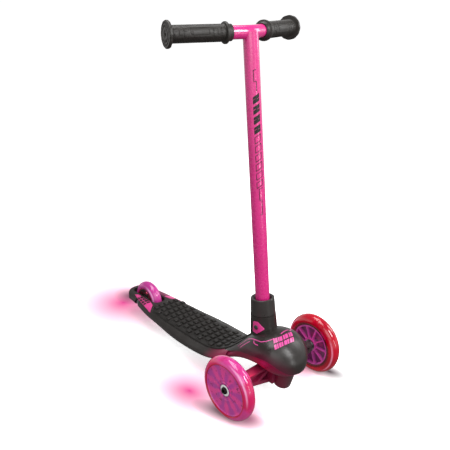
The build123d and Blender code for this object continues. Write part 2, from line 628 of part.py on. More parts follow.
def rear_wheel():
    """All pieces of the rear wheel and its axle."""
    z = REAR_WHEEL_R
    face = REAR_WHEEL_W / 2 - 1.0

    def put(solid):
        return set_wheel(solid, REAR_X, 0, z, -1)

    parts["rear_tyre"] = put(revolve(tyre(REAR_WHEEL_R, REAR_WHEEL_W, REAR_SEAT_R, REAR_SEAT_R + SEAT_EDGE,
                                      REAR_WHEEL_W / 2 - SEAT_EDGE), Axis.Y))
    core = wheel_core(REAR_SEAT_R, HUB_R, -face, face, face, 6)
    led = led_ring(HUB_R, HUB_R + 5.5, 1.5, 3.0, HUB_R + 2.8)
    parts["rear_core"] = put(core - led)
    parts["rear_led"] = put(led)
    mid = face - BEARING_W / 2
    parts["rear_bearings"] = put(Compound(children=[bearing(-mid), bearing(mid)]))
    gap = mid - BEARING_W / 2 - SIDE_GAP
    magnet = revolve(ring([(AXLE_R, -gap), (MAGNET_R, -gap), (MAGNET_R, gap), (AXLE_R, gap)]), Axis.Y)
    parts["rear_magnet"] = put(magnet)
    side_spacer = lying(REAR_X, face + SIDE_GAP / 2, z, 6.1, REAR_HALF_GAP - face - SIDE_GAP / 2, AXLE_R)
    parts["rear_spacers"] = Compound(children=[side_spacer, mirror(side_spacer, Plane.XZ)])
    bolt = lying(REAR_X, -REAR_HEAD_Y, z, AXLE_R, 2 * REAR_HEAD_Y + NUT_T + 1)
    head = extrude(Plane(place(REAR_X, -REAR_HEAD_Y - HEAD_T, z), x_dir=(1, 0, 0), z_dir=(0, 1, 0))
                   * RegularPolygon(HEX_R, 6), HEAD_T)
    parts["rear_axle"] = bolt + head
    parts["rear_nut"] = hex_nut(Plane(place(REAR_X, REAR_HEAD_Y, z), x_dir=(1, 0, 0), z_dir=(0, 1, 0)), AXLE_R)


# ---------------------------------------------------------------- stem, bar and grips
T_POINT = place(stem_x(BAR_Z), 0, BAR_Z)


def bar_point(side, d):
    """Point on the crossbar's axis, d from the T."""
    a = radians(BAR_SWEEP)
    return T_POINT + Vector(-sin(a) * d, side * cos(a) * d, 0)


def bar_plane(side, d):
    """Plane across the crossbar at d from the T, looking outwards."""
    a = radians(BAR_SWEEP)
    return Plane(bar_point(side, d), x_dir=(cos(a), side * sin(a), 0), z_dir=(-sin(a), side * cos(a), 0))


def crossbar():
    """Swept-back tube, bent at the middle."""
    path = FilletPolyline(bar_point(-1, BAR_END), T_POINT + Vector(0, 0, 0), bar_point(1, BAR_END),
                          radius=BAR_BEND_R)
    start = bar_plane(-1, BAR_END)
    outer = sweep(start * Circle(BAR_R), path=path)
    inner = sweep(start * Circle(BAR_R - TUBE_WALL), path=path)
    return outer - inner


def stem_tube():
    """Straight tube, its top shaped to the crossbar it is welded to."""
    length = (BAR_Z - STEM_BOTTOM_Z) / HEAD_LEAN
    tube = rod(stem_plane(STEM_BOTTOM_Z), STEM_R, length, STEM_R - TUBE_WALL)
    path = FilletPolyline(bar_point(-1, 60), T_POINT + Vector(0, 0, 0), bar_point(1, 60), radius=BAR_BEND_R)
    return tube - sweep(bar_plane(-1, 60) * Circle(BAR_R), path=path) - button_hole(BUTTON_R + BUTTON_FIT)


def grip(side):
    """Rubber hand grip with a safety flange at the end."""
    end = BAR_HALF
    face = ring([(BAR_R, GRIP_INNER), (GRIP_COLLAR_R, GRIP_INNER), (GRIP_COLLAR_R, GRIP_INNER + GRIP_COLLAR_W),
                 (GRIP_STOP_R, GRIP_INNER + GRIP_COLLAR_W),
                 (GRIP_STOP_R, GRIP_INNER + GRIP_COLLAR_W + GRIP_STOP_W),
                 (GRIP_R, GRIP_INNER + GRIP_COLLAR_W + GRIP_STOP_W), (GRIP_R, end - GRIP_FLANGE_W),
                 (GRIP_FLANGE_R - 1, end - GRIP_FLANGE_W), (GRIP_FLANGE_R, end - GRIP_FLANGE_W + 1),
                 (GRIP_FLANGE_R, end - 1.5), (GRIP_FLANGE_R - 1.5, end), (2, end), (2, BAR_END), (BAR_R, BAR_END)])
    solid = revolve(face, Axis.Y)
    plane = bar_plane(side, 0)
    return Plane(plane.origin, x_dir=plane.x_dir, z_dir=plane.x_dir.cross(plane.z_dir)) * solid


def bar_plugs():
    """Plastic plugs in the crossbar's open ends."""
    plugs = [rod(bar_plane(side, BAR_END - PLUG_L), BAR_R - TUBE_WALL, PLUG_L) for side in (-1, 1)]
    return Compound(children=plugs)


def stem_plug():
    """Plastic foot that closes the stem's lower end."""
    return rod(stem_plane(STEM_BOTTOM_Z), STEM_R - TUBE_WALL, PLUG_L)


# ---------------------------------------------------------------- snap button and badge
def button_plane(out):
    """Plane across the button's line, out from the stem's axis, facing inwards."""
    t = radians(BUTTON_TURN)
    return Plane(place(stem_x(BUTTON_Z) + out * sin(t), -out * cos(t), BUTTON_Z), x_dir=(cos(t), sin(t), 0),
                 z_dir=(-sin(t), cos(t), 0))


def button_hole(radius):
    """Hole for the button through the outer walls of head tube and stem."""
    return rod(button_plane(60), radius, 60 - SPRING_REST)


def snap_button():
    """Push button that locks the stem in the head tube."""
    outer = head_radius(BUTTON_Z) + BUTTON_PROUD
    pin = rod(button_plane(outer), BUTTON_R, outer - BUTTON_SEAT)
    pin = fillet(pin.edges().sort_by(Axis.Y)[0], 1.0)
    return pin + rod(button_plane(BUTTON_SEAT + FLANGE_T), BUTTON_R + 1.2, FLANGE_T)


def spring_strip(y0, y1, z0, z1):
    """Flat stretch of the spring strip, about the button's place."""
    return Pos(0, (y0 + y1) / 2, (z0 + z1) / 2) * Box(SPRING_W, y1 - y0, z1 - z0)


def snap_spring():
    """Bent spring strip inside the stem, behind the button."""
    back, front = STEM_R - TUBE_WALL - SPRING_GAP, -SPRING_REST
    spring = spring_strip(back - SPRING_T, back, -12, SPRING_TOP)
    spring = spring + spring_strip(front - SPRING_T / 2, front + SPRING_T / 2, -8, SPRING_TOP)
    spring = spring + spring_strip(front - SPRING_T / 2, back, SPRING_TOP, SPRING_TOP + SPRING_T)
    return Pos(place(stem_x(BUTTON_Z), 0, BUTTON_Z)) * Rot(0, 0, BUTTON_TURN) * spring


def badge():
    """Pick-shaped coloured plate round the button, curved to the head tube."""
    low, high = BUTTON_Z - 16, BUTTON_Z + 16
    plate = (head_piece(low, high, head_radius(low) + BADGE_T, head_radius(high) + BADGE_T)
             - head_piece(low - 1, high + 1, head_radius(low - 1), head_radius(high + 1)))
    facing = button_plane(0)
    outwards = Plane(facing.origin, x_dir=facing.x_dir, z_dir=-facing.z_dir)
    pick = make_face(Polyline((BADGE_TIP, -1), (3, -BADGE_HALF), (-BADGE_BACK, 1.5 - BADGE_HALF),
                              (-BADGE_BACK, BADGE_HALF - 1.5), (3, BADGE_HALF), close=True))
    pick = fillet(pick.vertices(), 2.2)
    return (plate & extrude(outwards * pick, 60)) - button_hole(BUTTON_R + BUTTON_FIT)


# ---------------------------------------------------------------- all pieces
def build():
    """Fills parts with every node."""
    parts["deck_board"] = deck_board()
    parts["nose_shell"] = nose_shell()
    parts["lock_collar"] = lock_collar()
    parts["grip_mat"] = grip_mat()
    for word, side in (("right", -1), ("left", 1)):
        parts[f"tail_inlay_{word}"] = tail_inlay(side)
        parts[f"grip_{word}"] = grip(side)
        front_wheel(side, word)
    parts["deck_screws"] = Compound(children=deck_screws())
    parts["kingpin"] = kingpin()
    parts["kingpin_nut"] = hex_nut(steer_plane(SEAT_HIGH), KINGPIN_R)
    parts["pivot_washer"] = pivot_washer()
    parts["steer_bushing"] = steer_bushing()
    parts["truck_hanger"] = truck_hanger()
    rear_wheel()
    parts["stem_tube"] = stem_tube()
    parts["stem_plug"] = stem_plug()
    parts["crossbar"] = crossbar()
    parts["bar_plugs"] = bar_plugs()
    parts["snap_button"] = snap_button()
    parts["snap_spring"] = snap_spring()
    parts["badge"] = badge()


build()
os.makedirs("parts", exist_ok=True)
for name, shape in parts.items():
    export_step(shape, f"parts/{name}.step")
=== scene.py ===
"""Kick scooter for a small child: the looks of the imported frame.

The CAD frame is loaded first and never moved. Each class below dresses one sub-assembly: it gives the CAD
nodes their finishes, and builds the detailed pieces that stand for the plain ones.
"""

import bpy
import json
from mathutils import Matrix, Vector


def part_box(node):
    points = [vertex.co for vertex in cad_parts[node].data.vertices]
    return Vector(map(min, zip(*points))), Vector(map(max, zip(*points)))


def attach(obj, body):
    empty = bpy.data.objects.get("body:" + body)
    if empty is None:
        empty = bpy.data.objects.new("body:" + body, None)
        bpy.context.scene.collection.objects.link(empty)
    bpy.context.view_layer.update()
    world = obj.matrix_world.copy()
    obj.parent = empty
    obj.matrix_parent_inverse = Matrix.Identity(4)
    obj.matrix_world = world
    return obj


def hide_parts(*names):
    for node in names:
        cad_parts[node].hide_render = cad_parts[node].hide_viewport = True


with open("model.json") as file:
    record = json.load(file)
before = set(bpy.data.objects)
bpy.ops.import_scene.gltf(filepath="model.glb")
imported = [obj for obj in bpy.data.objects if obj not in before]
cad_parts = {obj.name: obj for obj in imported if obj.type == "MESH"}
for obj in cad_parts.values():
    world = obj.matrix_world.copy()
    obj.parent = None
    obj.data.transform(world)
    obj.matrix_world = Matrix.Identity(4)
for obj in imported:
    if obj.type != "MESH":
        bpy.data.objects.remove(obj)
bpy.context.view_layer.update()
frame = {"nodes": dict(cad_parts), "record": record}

import json
import logging
import math
from dataclasses import dataclass
from enum import Enum
from typing import Callable, Iterable, Optional, Sequence

import bmesh
import bpy
from mathutils import Matrix, Vector
from mathutils.bvhtree import BVHTree

LOG = logging.getLogger("kick_scooter")
Colour = tuple[float, float, float]
Point = tuple[float, float, float]
Flat = tuple[float, float]
Seat = tuple[Vector, Vector, Vector]
NODES: dict[str, bpy.types.Object] = frame["nodes"]
MM = 0.001
GRAIN_PER_M = 1500.0          # moulded pebble grain
GRAIN_DEPTH = 0.00005
NOISE_MIDDLE = (0.3, 0.7)     # where most of a noise's values lie
ABOVE = 0.2                   # height that rays looking down on the deck start from
SUNK = 0.1 * MM               # how far a sheet or print reaches under the surface it lies on


def screen(red: int, green: int, blue: int) -> Colour:
    """Turns a colour in 0-255 screen values into the linear values that shaders use."""
    shares = (v / 255 for v in (red, green, blue))
    return tuple(v / 12.92 if v < 11 / 255 else ((v + 0.055) / 1.055) ** 2.4 for v in shares)


class Side(Enum):
    """The rider's right and left, as the sign of Y."""

    RIGHT = -1
    LEFT = 1

    @property
    def word(self) -> str:
        """The side's name as the CAD nodes spell it."""
        return self.name.lower()


# ------------------------------------------------------------------ finishes
class Surface:
    """One material under construction: a Principled shader and the nodes that feed it."""

    def __init__(self, name: str) -> None:
        """Starts an empty node tree with a shader and an output.

        Args:
            name: The material's name.
        """
        self.material = bpy.data.materials.new(name)
        self.material.use_nodes = True
        self.tree = self.material.node_tree
        self.tree.nodes.clear()
        self.shader = self.tree.nodes.new("ShaderNodeBsdfPrincipled")
        output = self.tree.nodes.new("ShaderNodeOutputMaterial")
        self.tree.links.new(self.shader.outputs[0], output.inputs[0])
        self.place = self.tree.nodes.new("ShaderNodeTexCoord").outputs["Object"]

    def set(self, **values: float) -> None:
        """Sets numbers on the shader's own sockets, underscores standing for spaces."""
        for key, value in values.items():
            self.shader.inputs[key.replace("_", " ")].default_value = value

    def centred(self, centre: Sequence[float]) -> bpy.types.NodeSocket:
        """Object coordinates measured from a centre."""
        shift = self.tree.nodes.new("ShaderNodeVectorMath")
        shift.operation = "SUBTRACT"
        shift.inputs[1].default_value = tuple(centre)
        self.tree.links.new(self.place, shift.inputs[0])
        return shift.outputs[0]

    def noise(self, scale: float, detail: float) -> bpy.types.NodeSocket:
        """Noise value over the object, scale in cycles per metre."""
        node = self.tree.nodes.new("ShaderNodeTexNoise")
        for key, number in (("Scale", scale), ("Detail", detail), ("Roughness", 0.55)):
            node.inputs[key].default_value = number
        self.tree.links.new(self.place, node.inputs["Vector"])
        return node.outputs["Fac"]

    def pebbles(self, scale: float) -> bpy.types.NodeSocket:
        """Cell distance of a leather-like moulded grain."""
        node = self.tree.nodes.new("ShaderNodeTexVoronoi")
        node.inputs["Scale"].default_value = scale
        self.tree.links.new(self.place, node.inputs["Vector"])
        return node.outputs["Distance"]

    def axis_part(self, vector: bpy.types.NodeSocket, index: int) -> bpy.types.NodeSocket:
        """One component of a vector."""
        node = self.tree.nodes.new("ShaderNodeSeparateXYZ")
        self.tree.links.new(vector, node.inputs[0])
        return node.outputs[index]

    def angle_round(self, flat: bpy.types.NodeSocket) -> bpy.types.NodeSocket:
        """Angle about Y of centred coordinates."""
        return self.maths("ARCTAN2", self.axis_part(flat, 2), self.axis_part(flat, 0))

    def maths(self, operation: str, first: object, second: object = 0.0) -> bpy.types.NodeSocket:
        """One Math node over sockets or numbers."""
        node = self.tree.nodes.new("ShaderNodeMath")
        node.operation = operation
        for slot, value in zip(node.inputs, (first, second)):
            if isinstance(value, bpy.types.NodeSocket):
                self.tree.links.new(value, slot)
            else:
                slot.default_value = value
        return node.outputs[0]

    def span(self, value: bpy.types.NodeSocket, low: float, high: float, to_low: float = 0.0,
             to_high: float = 1.0) -> bpy.types.NodeSocket:
        """Maps a value's range onto another, smoothly and clamped."""
        node = self.tree.nodes.new("ShaderNodeMapRange")
        node.interpolation_type = "SMOOTHSTEP"
        for key, number in zip(("From Min", "From Max", "To Min", "To Max"), (low, high, to_low, to_high)):
            node.inputs[key].default_value = number
        self.tree.links.new(value, node.inputs["Value"])
        return node.outputs["Result"]

    def blend(self, amount: bpy.types.NodeSocket, first: object, second: object) -> bpy.types.NodeSocket:
        """Mixes two colours by a value."""
        node = self.tree.nodes.new("ShaderNodeMix")
        node.data_type = "RGBA"
        self.tree.links.new(amount, node.inputs[0])
        for slot, value in ((node.inputs[6], first), (node.inputs[7], second)):
            if isinstance(value, bpy.types.NodeSocket):
                self.tree.links.new(value, slot)
            else:
                slot.default_value = (*value, 1.0)
        return node.outputs[2]

    def feed(self, name: str, value: bpy.types.NodeSocket) -> None:
        """Links a value to one of the shader's sockets."""
        self.tree.links.new(value, self.shader.inputs[name])

    def colour_and_glow(self, colour: bpy.types.NodeSocket) -> None:
        """Links one colour to both the base and the emission."""
        self.feed("Base Color", colour)
        self.feed("Emission Color", colour)

    def vary_roughness(self, scale: float, detail: float, low: float, high: float) -> None:
        """Lets the roughness wander between two values with a noise."""
        self.feed("Roughness", self.span(self.noise(scale, detail), *NOISE_MIDDLE, low, high))

    def bump(self, height: bpy.types.NodeSocket, distance: float, strength: float) -> None:
        """Adds relief of a given depth in metres."""
        node = self.tree.nodes.new("ShaderNodeBump")
        node.inputs["Distance"].default_value = distance
        node.inputs["Strength"].default_value = strength
        self.tree.links.new(height, node.inputs["Height"])
        self.feed("Normal", node.outputs[0])


@dataclass(frozen=True)
class MouldedPlastic:
    """Injection-moulded plastic with a fine pebble grain and slight handling shine."""

    name: str
    colour: Colour
    shade: Colour
    roughness: float = 0.42

    def build(self) -> bpy.types.Material:
        """Makes the material."""
        s = Surface(self.name)
        s.set(IOR=1.5, Specular_IOR_Level=0.5)
        s.feed("Base Color", s.blend(s.noise(28, 4), self.shade, self.colour))
        s.vary_roughness(45, 5, self.roughness - 0.07, self.roughness + 0.07)
        s.bump(s.pebbles(GRAIN_PER_M), GRAIN_DEPTH, 0.5)
        return s.material


@dataclass(frozen=True)
class GlowingPlastic:
    """Moulded plastic with the pink light of the wheels' lamps painted into its colour: a painted glow,
    patchy, full near a centre and gone further out.
    """

    name: str
    colour: Colour
    # Colour of the lamps' light painted on the plastic.
    tint: Colour
    centre: Point
    near: float
    far: float
    roughness: float = 0.42

    def build(self) -> bpy.types.Material:
        """Makes the material."""
        s = Surface(self.name)
        s.set(IOR=1.5, Specular_IOR_Level=0.4)
        from_centre = s.centred(self.centre)
        length = s.tree.nodes.new("ShaderNodeVectorMath")
        length.operation = "LENGTH"
        s.tree.links.new(from_centre, length.inputs[0])
        # Painted glow: full within near of the centre, fading to nothing at far, broken into patches by a
        # noise.
        amount = s.span(length.outputs["Value"], self.near, self.far, 1.0, 0.0)
        painted_glow_share = s.maths("MULTIPLY", amount, s.span(s.noise(22, 3), 0.25, 0.75, 0.75, 1.0))
        s.feed("Base Color", s.blend(painted_glow_share, self.colour, self.tint))
        s.vary_roughness(45, 5, self.roughness - 0.07, self.roughness + 0.07)
        s.bump(s.pebbles(GRAIN_PER_M), GRAIN_DEPTH, 0.5)
        return s.material


@dataclass(frozen=True)
class Rubber:
    """Matt moulded rubber with patches of dust."""

    name: str
    colour: Colour
    dust: Colour
    roughness: float = 0.68
    grain_per_m: float = 900.0

    def build(self) -> bpy.types.Material:
        """Makes the material."""
        s = Surface(self.name)
        s.set(IOR=1.48, Specular_IOR_Level=0.35)
        s.feed("Base Color", s.blend(s.span(s.noise(90, 6), 0.45, 0.75), self.colour, self.dust))
        s.vary_roughness(60, 4, self.roughness - 0.08, self.roughness + 0.08)
        s.bump(s.noise(self.grain_per_m, 2), 0.00008, 0.6)
        return s.material


@dataclass(frozen=True)
class PowderCoat:
    """Gloss powder coat with faint orange peel."""

    name: str
    colour: Colour
    deep: Colour
    roughness: float = 0.27

    def build(self) -> bpy.types.Material:
        """Makes the material."""
        s = Surface(self.name)
        s.set(IOR=1.5, Coat_Weight=0.5, Coat_Roughness=0.12)
        s.feed("Base Color", s.blend(s.span(s.noise(18, 4), 0.3, 0.7), self.deep, self.colour))
        s.vary_roughness(140, 4, self.roughness - 0.05, self.roughness + 0.05)
        s.bump(s.noise(300, 2), 0.00001, 0.4)
        return s.material


@dataclass(frozen=True)
class ClearCast:
    """Tinted clear cast plastic, with the light of the wheel's lamps painted on it: glowing patches round
    the wheel, a faint glow over all, and a painted highlight arc near the crown.
    """

    name: str
    centre: Point
    core: Colour
    edge: Colour
    # band: deeper red near the seat, the thick clear body there with painted glow and painted shade over
    # it.
    band: Colour
    band_r: Flat
    # line, with its radius, half width and turn, is a painted highlight: pale arcs on a ring near the
    # crown.
    line: Colour
    line_r: float
    line_half: float = 0.0022
    line_turn: float = 0.3
    clear: float = 0.3
    glow: float = 0.12
    lamps: int = 3
    roughness: float = 0.1

    def build(self) -> bpy.types.Material:
        """Makes the material."""
        s = Surface(self.name)
        # The emission is a painted glow of the lamps' light, in the surface's own colours.
        s.set(IOR=1.45, Transmission_Weight=self.clear, Coat_Weight=0.4, Coat_Roughness=0.04,
              Emission_Strength=self.glow)
        flat = s.centred(self.centre)
        angle = s.angle_round(flat)
        # Painted glow: one bright patch per lamp round the wheel, broken up by a noise, mixing edge and
        # core.
        painted_glow_lobes = s.maths("SINE", s.maths("ADD", s.maths("MULTIPLY", angle, float(self.lamps)), 0.9))
        patch = s.span(s.maths("ADD", painted_glow_lobes, s.span(s.noise(40, 3), *NOISE_MIDDLE, -0.7, 0.7)), -1.0, 1.0)
        height, ahead = s.axis_part(flat, 2), s.axis_part(flat, 0)
        square = s.maths("ADD", s.maths("MULTIPLY", height, height), s.maths("MULTIPLY", ahead, ahead))
        radius = s.maths("SQRT", square)
        # Deeper red within band_r of the axis: partly the tyre's thick body near the seat, partly painted
        # glow and painted shade.
        inside = s.span(radius, *self.band_r, 1.0, 0.0)
        colour = s.blend(inside, s.blend(patch, self.edge, self.core), self.band)
        # Painted highlight: pale arcs along a thin ring near the crown, waxing and waning twice round the
        # wheel.
        off_painted_highlight = s.maths("ABSOLUTE", s.maths("SUBTRACT", radius, self.line_r))
        turned = s.maths("ADD", s.maths("MULTIPLY", angle, 2.0), self.line_turn)
        painted_highlight_arcs = s.span(s.maths("SINE", turned), -0.2, 0.9)
        line = s.maths("MULTIPLY", s.span(off_painted_highlight, 0.0, self.line_half, 1.0, 0.0), painted_highlight_arcs)
        colour = s.blend(s.maths("MULTIPLY", line, 0.85), colour, self.line)
        s.colour_and_glow(colour)
        s.vary_roughness(70, 4, self.roughness - 0.03, self.roughness + 0.04)
        s.bump(s.noise(160, 2), 0.00006, 0.4)
        return s.material


@dataclass(frozen=True)
class DiscPlastic:
    """Half-clear coloured disc whose hidden ribs show through as paler and darker sectors."""

    name: str
    centre: Point
    pale: Colour
    deep: Colour
    spot: Colour
    sectors: int = 10
    clear: float = 0.12
    glow: float = 0.18
    # depth_y: within its first distance from the wheel's middle plane the spot colour is laid in full as
    # painted shade, fading out by its second.
    depth_y: Optional[Flat] = None

    def build(self) -> bpy.types.Material:
        """Makes the material."""
        s = Surface(self.name)
        # The emission is a painted glow of the lamps' light through the half-clear plastic.
        s.set(IOR=1.47, Transmission_Weight=self.clear, Roughness=0.2, Coat_Weight=0.45,
              Coat_Roughness=0.08, Emission_Strength=self.glow)
        flat = s.centred(self.centre)
        angle = s.angle_round(flat)
        wave = s.maths("SINE", s.maths("MULTIPLY", angle, float(self.sectors)))
        cloudy = s.maths("ADD", wave, s.span(s.noise(55, 4), *NOISE_MIDDLE, -0.9, 0.9))
        colour = s.blend(s.span(cloudy, -1.1, 1.1), self.pale, self.deep)
        # With depth_y, spot is painted shade: the core darkens towards the wheel's middle plane, deep
        # inside the wheel. Without it, spot is random specks.
        if self.depth_y:
            sunk = s.span(s.maths("ABSOLUTE", s.axis_part(flat, 1)), *self.depth_y, 1.0, 0.0)
            colour = s.blend(sunk, colour, self.spot)
        else:
            specks = s.span(s.noise(150, 2), 0.62, 0.72)
            colour = s.blend(specks, colour, self.spot)
        s.colour_and_glow(colour)
        s.bump(s.noise(120, 3), 0.00008, 0.4)
        return s.material


@dataclass(frozen=True)
class Metal:
    """Plated or turned steel with fine scratches."""

    name: str
    colour: Colour
    roughness: float = 0.3

    def build(self) -> bpy.types.Material:
        """Makes the material."""
        s = Surface(self.name)
        s.set(Metallic=1.0)
        dull = tuple(0.75 * v for v in self.colour)
        s.feed("Base Color", s.blend(s.noise(160, 4), dull, self.colour))
        s.vary_roughness(500, 4, self.roughness - 0.08, self.roughness + 0.12)
        s.bump(s.noise(1200, 2), 0.00003, 0.4)
        return s.material


@dataclass(frozen=True)
class Lamp:
    """Small lit lamp behind a cloudy lens."""

    name: str
    colour: Colour
    power: float

    def build(self) -> bpy.types.Material:
        """Makes the material."""
        s = Surface(self.name)
        s.set(Roughness=0.3, Emission_Strength=self.power)
        bright = tuple(min(1.0, v * 1.3 + 0.08) for v in self.colour)
        light = s.blend(s.noise(300, 3), self.colour, bright)
        s.colour_and_glow(light)
        return s.material


@dataclass(frozen=True)
class Pool:
    """Soft patch of light or shade on the floor."""

    centre: Flat
    size: Flat
    turn: float
    colour: Colour
    strength: float
    falloff: float = 1.4


@dataclass(frozen=True)
class PaleFloor:
    """White floor with soft pools of light and shade round the wheels."""

    name: str
    pools: tuple[Pool, ...]
    glow: float = 0.7

    def build(self) -> bpy.types.Material:
        """Makes the material."""
        s = Surface(self.name)
        s.set(Roughness=0.9, Specular_IOR_Level=0.0, Emission_Strength=self.glow)
        colour = s.blend(s.noise(3, 2), (1.0, 1.0, 1.0), (0.985, 0.985, 0.985))
        for pool in self.pools:
            spot = s.tree.nodes.new("ShaderNodeMapping")
            spot.vector_type = "TEXTURE"
            spot.inputs["Location"].default_value = (*pool.centre, 0.0)
            spot.inputs["Rotation"].default_value = (0.0, 0.0, math.radians(pool.turn))
            spot.inputs["Scale"].default_value = (*pool.size, 1.0)
            fade = s.tree.nodes.new("ShaderNodeTexGradient")
            fade.gradient_type = "SPHERICAL"
            s.tree.links.new(s.place, spot.inputs["Vector"])
            s.tree.links.new(spot.outputs["Vector"], fade.inputs["Vector"])
            amount = s.maths("MULTIPLY", s.maths("POWER", fade.outputs["Fac"], pool.falloff), pool.strength)
            colour = s.blend(amount, colour, pool.colour)
        s.colour_and_glow(colour)
        return s.material


# ------------------------------------------------------------------ shapes
@dataclass(frozen=True)
class Spindle:
    """A line that round pieces turn about: origin, direction, and where angle 0 points."""

    origin: Vector
    along: Vector
    start: Vector

    def at(self, radius: float, out: float, angle: float) -> Vector:
        """Point at a radius, a distance along and an angle."""
        side = self.along.cross(self.start)
        return (self.origin + self.along * out
                + (self.start * math.cos(angle) + side * math.sin(angle)) * radius)

    def radial(self, angle: float) -> Vector:
        """Unit direction away from the line at an angle."""
        return self.start * math.cos(angle) + self.along.cross(self.start) * math.sin(angle)


def put(name: str, data: bpy.types.ID) -> bpy.types.Object:
    """Makes an object from mesh, light or camera data and puts it in the scene."""
    thing = bpy.data.objects.new(name, data)
    bpy.context.scene.collection.objects.link(thing)
    return thing


def new_piece(name: str, points: Iterable[Vector], faces: Iterable[Sequence[int]],
              smooth: bool = True) -> bpy.types.Object:
    """Makes a mesh object at the origin, with normals outwards.

    Args:
        name: The piece's name.
        points: Vertices in the frame.
        faces: Vertex numbers of each face.
        smooth: Whether the faces are shaded smooth.

    Returns:
        The linked object.
    """
    mesh = bpy.data.meshes.new(name)
    mesh.from_pydata([tuple(p) for p in points], [], [tuple(f) for f in faces])
    shape = bmesh.new()
    shape.from_mesh(mesh)
    bmesh.ops.remove_doubles(shape, verts=shape.verts, dist=1e-7)
    bmesh.ops.recalc_face_normals(shape, faces=shape.faces)
    shape.to_mesh(mesh)
    shape.free()
    if smooth:
        mesh.shade_smooth()
    else:
        mesh.shade_flat()
    return put(name, mesh)


def soften(piece: bpy.types.Object, width: float, segments: int, angle: float) -> bpy.types.Object:
    """Rounds a piece's edges sharper than an angle in degrees with a bevel, and applies it."""
    modifier = piece.modifiers.new("edge", "BEVEL")
    modifier.width = width
    modifier.segments = segments
    modifier.limit_method = "ANGLE"
    modifier.angle_limit = math.radians(angle)
    modifier.harden_normals = False
    return settle(piece)


def settle(piece: bpy.types.Object) -> bpy.types.Object:
    """Turns a piece with modifiers into a plain mesh."""
    graph = bpy.context.evaluated_depsgraph_get()
    plain = bpy.data.meshes.new_from_object(piece.evaluated_get(graph))
    old = piece.data
    piece.modifiers.clear()
    piece.data = plain
    if old.users == 0:
        bpy.data.meshes.remove(old)
    return piece


def lathe(name: str, spindle: Spindle, profile: Sequence[Flat], segments: int,
          shape: Optional[Callable[[float, float, float], float]] = None) -> bpy.types.Object:
    """Turns a closed profile about a line.

    Args:
        name: The piece's name.
        spindle: The line.
        profile: (radius, distance along) points, none on the line itself.
        segments: Steps round the circle.
        shape: Gives the radius from (radius, along, angle), where the form isn't round.

    Returns:
        The turned piece.
    """
    points: list[Vector] = []
    rows: list[list[int]] = []
    for radius, out in profile:
        rows.append(list(range(len(points), len(points) + segments)))
        for k in range(segments):
            angle = 2 * math.pi * k / segments
            r = shape(radius, out, angle) if shape else radius
            points.append(spindle.at(r, out, angle))
    faces = []
    for a, b in zip(rows, rows[1:] + rows[:1]):
        for k in range(segments):
            j = (k + 1) % segments
            faces.append((a[k], a[j], b[j], b[k]))
    return new_piece(name, points, faces)


def arc(centre: Flat, radius: float, first: float, last: float, steps: int) -> list[Flat]:
    """Points of an arc in profile, angles in degrees from the direction of growing radius."""
    angles = [math.radians(first + (last - first) * i / steps) for i in range(steps + 1)]
    return [(centre[0] + radius * math.cos(a), centre[1] + radius * math.sin(a)) for a in angles]


def patch(name: str, place: Callable[[float, float, float], Vector], quads: Sequence[Sequence[Flat]],
          step: float, lift: float) -> bpy.types.Object:
    """Thin raised print that follows a surface.

    Args:
        name: The piece's name.
        place: Gives the point from (across, up, height over the surface).
        quads: Four-cornered shapes in the surface's own flat measure.
        step: Largest spacing of the patch's own points.
        lift: Thickness of the print.

    Returns:
        One piece with every shape.
    """
    points: list[Vector] = []
    faces: list[tuple[int, ...]] = []
    for a, b, c, d in quads:
        length = max(math.dist(a, b), math.dist(d, c))
        height = max(math.dist(a, d), math.dist(b, c))
        n, m = max(1, math.ceil(length / step)), max(1, math.ceil(height / step))
        start = len(points)
        for over in (lift, -lift / 2):
            for j in range(m + 1):
                for i in range(n + 1):
                    s, t = i / n, j / m
                    x, y = ((1 - t) * ((1 - s) * a[k] + s * b[k]) + t * ((1 - s) * d[k] + s * c[k])
                            for k in (0, 1))
                    points.append(place(x, y, over))
        layer = (n + 1) * (m + 1)

        def at(i: int, j: int, low: int) -> int:
            """Number of a grid point."""
            return start + low * layer + j * (n + 1) + i

        for j in range(m):
            for i in range(n):
                faces.append((at(i, j, 0), at(i + 1, j, 0), at(i + 1, j + 1, 0), at(i, j + 1, 0)))
                faces.append((at(i, j + 1, 1), at(i + 1, j + 1, 1), at(i + 1, j, 1), at(i, j, 1)))
        rim = ([(i, 0) for i in range(n)] + [(n, j) for j in range(m)] + [(i, m) for i in range(n, 0, -1)]
               + [(0, j) for j in range(m, 0, -1)])
        for p, q in zip(rim, rim[1:] + rim[:1]):
            faces.append((at(*p, 0), at(*p, 1), at(*q, 1), at(*q, 0)))
    return new_piece(name, points, faces, smooth=False)


def surface_of(*names: str) -> BVHTree:
    """Search tree over the meshes of CAD nodes."""
    points, faces = [], []
    for name in names:
        mesh = NODES[name].data
        base = len(points)
        points += [v.co.copy() for v in mesh.vertices]
        faces += [[base + i for i in p.vertices] for p in mesh.polygons]
    return BVHTree.FromPolygons(points, faces)


def look_down(surface: BVHTree, x: float, y: float) -> tuple[Optional[Vector], Optional[Vector]]:
    """Point and facing of a surface straight below a place, or nothing where it isn't there."""
    return surface.ray_cast(Vector((x, y, ABOVE)), Vector((0, 0, -1)))[:2]


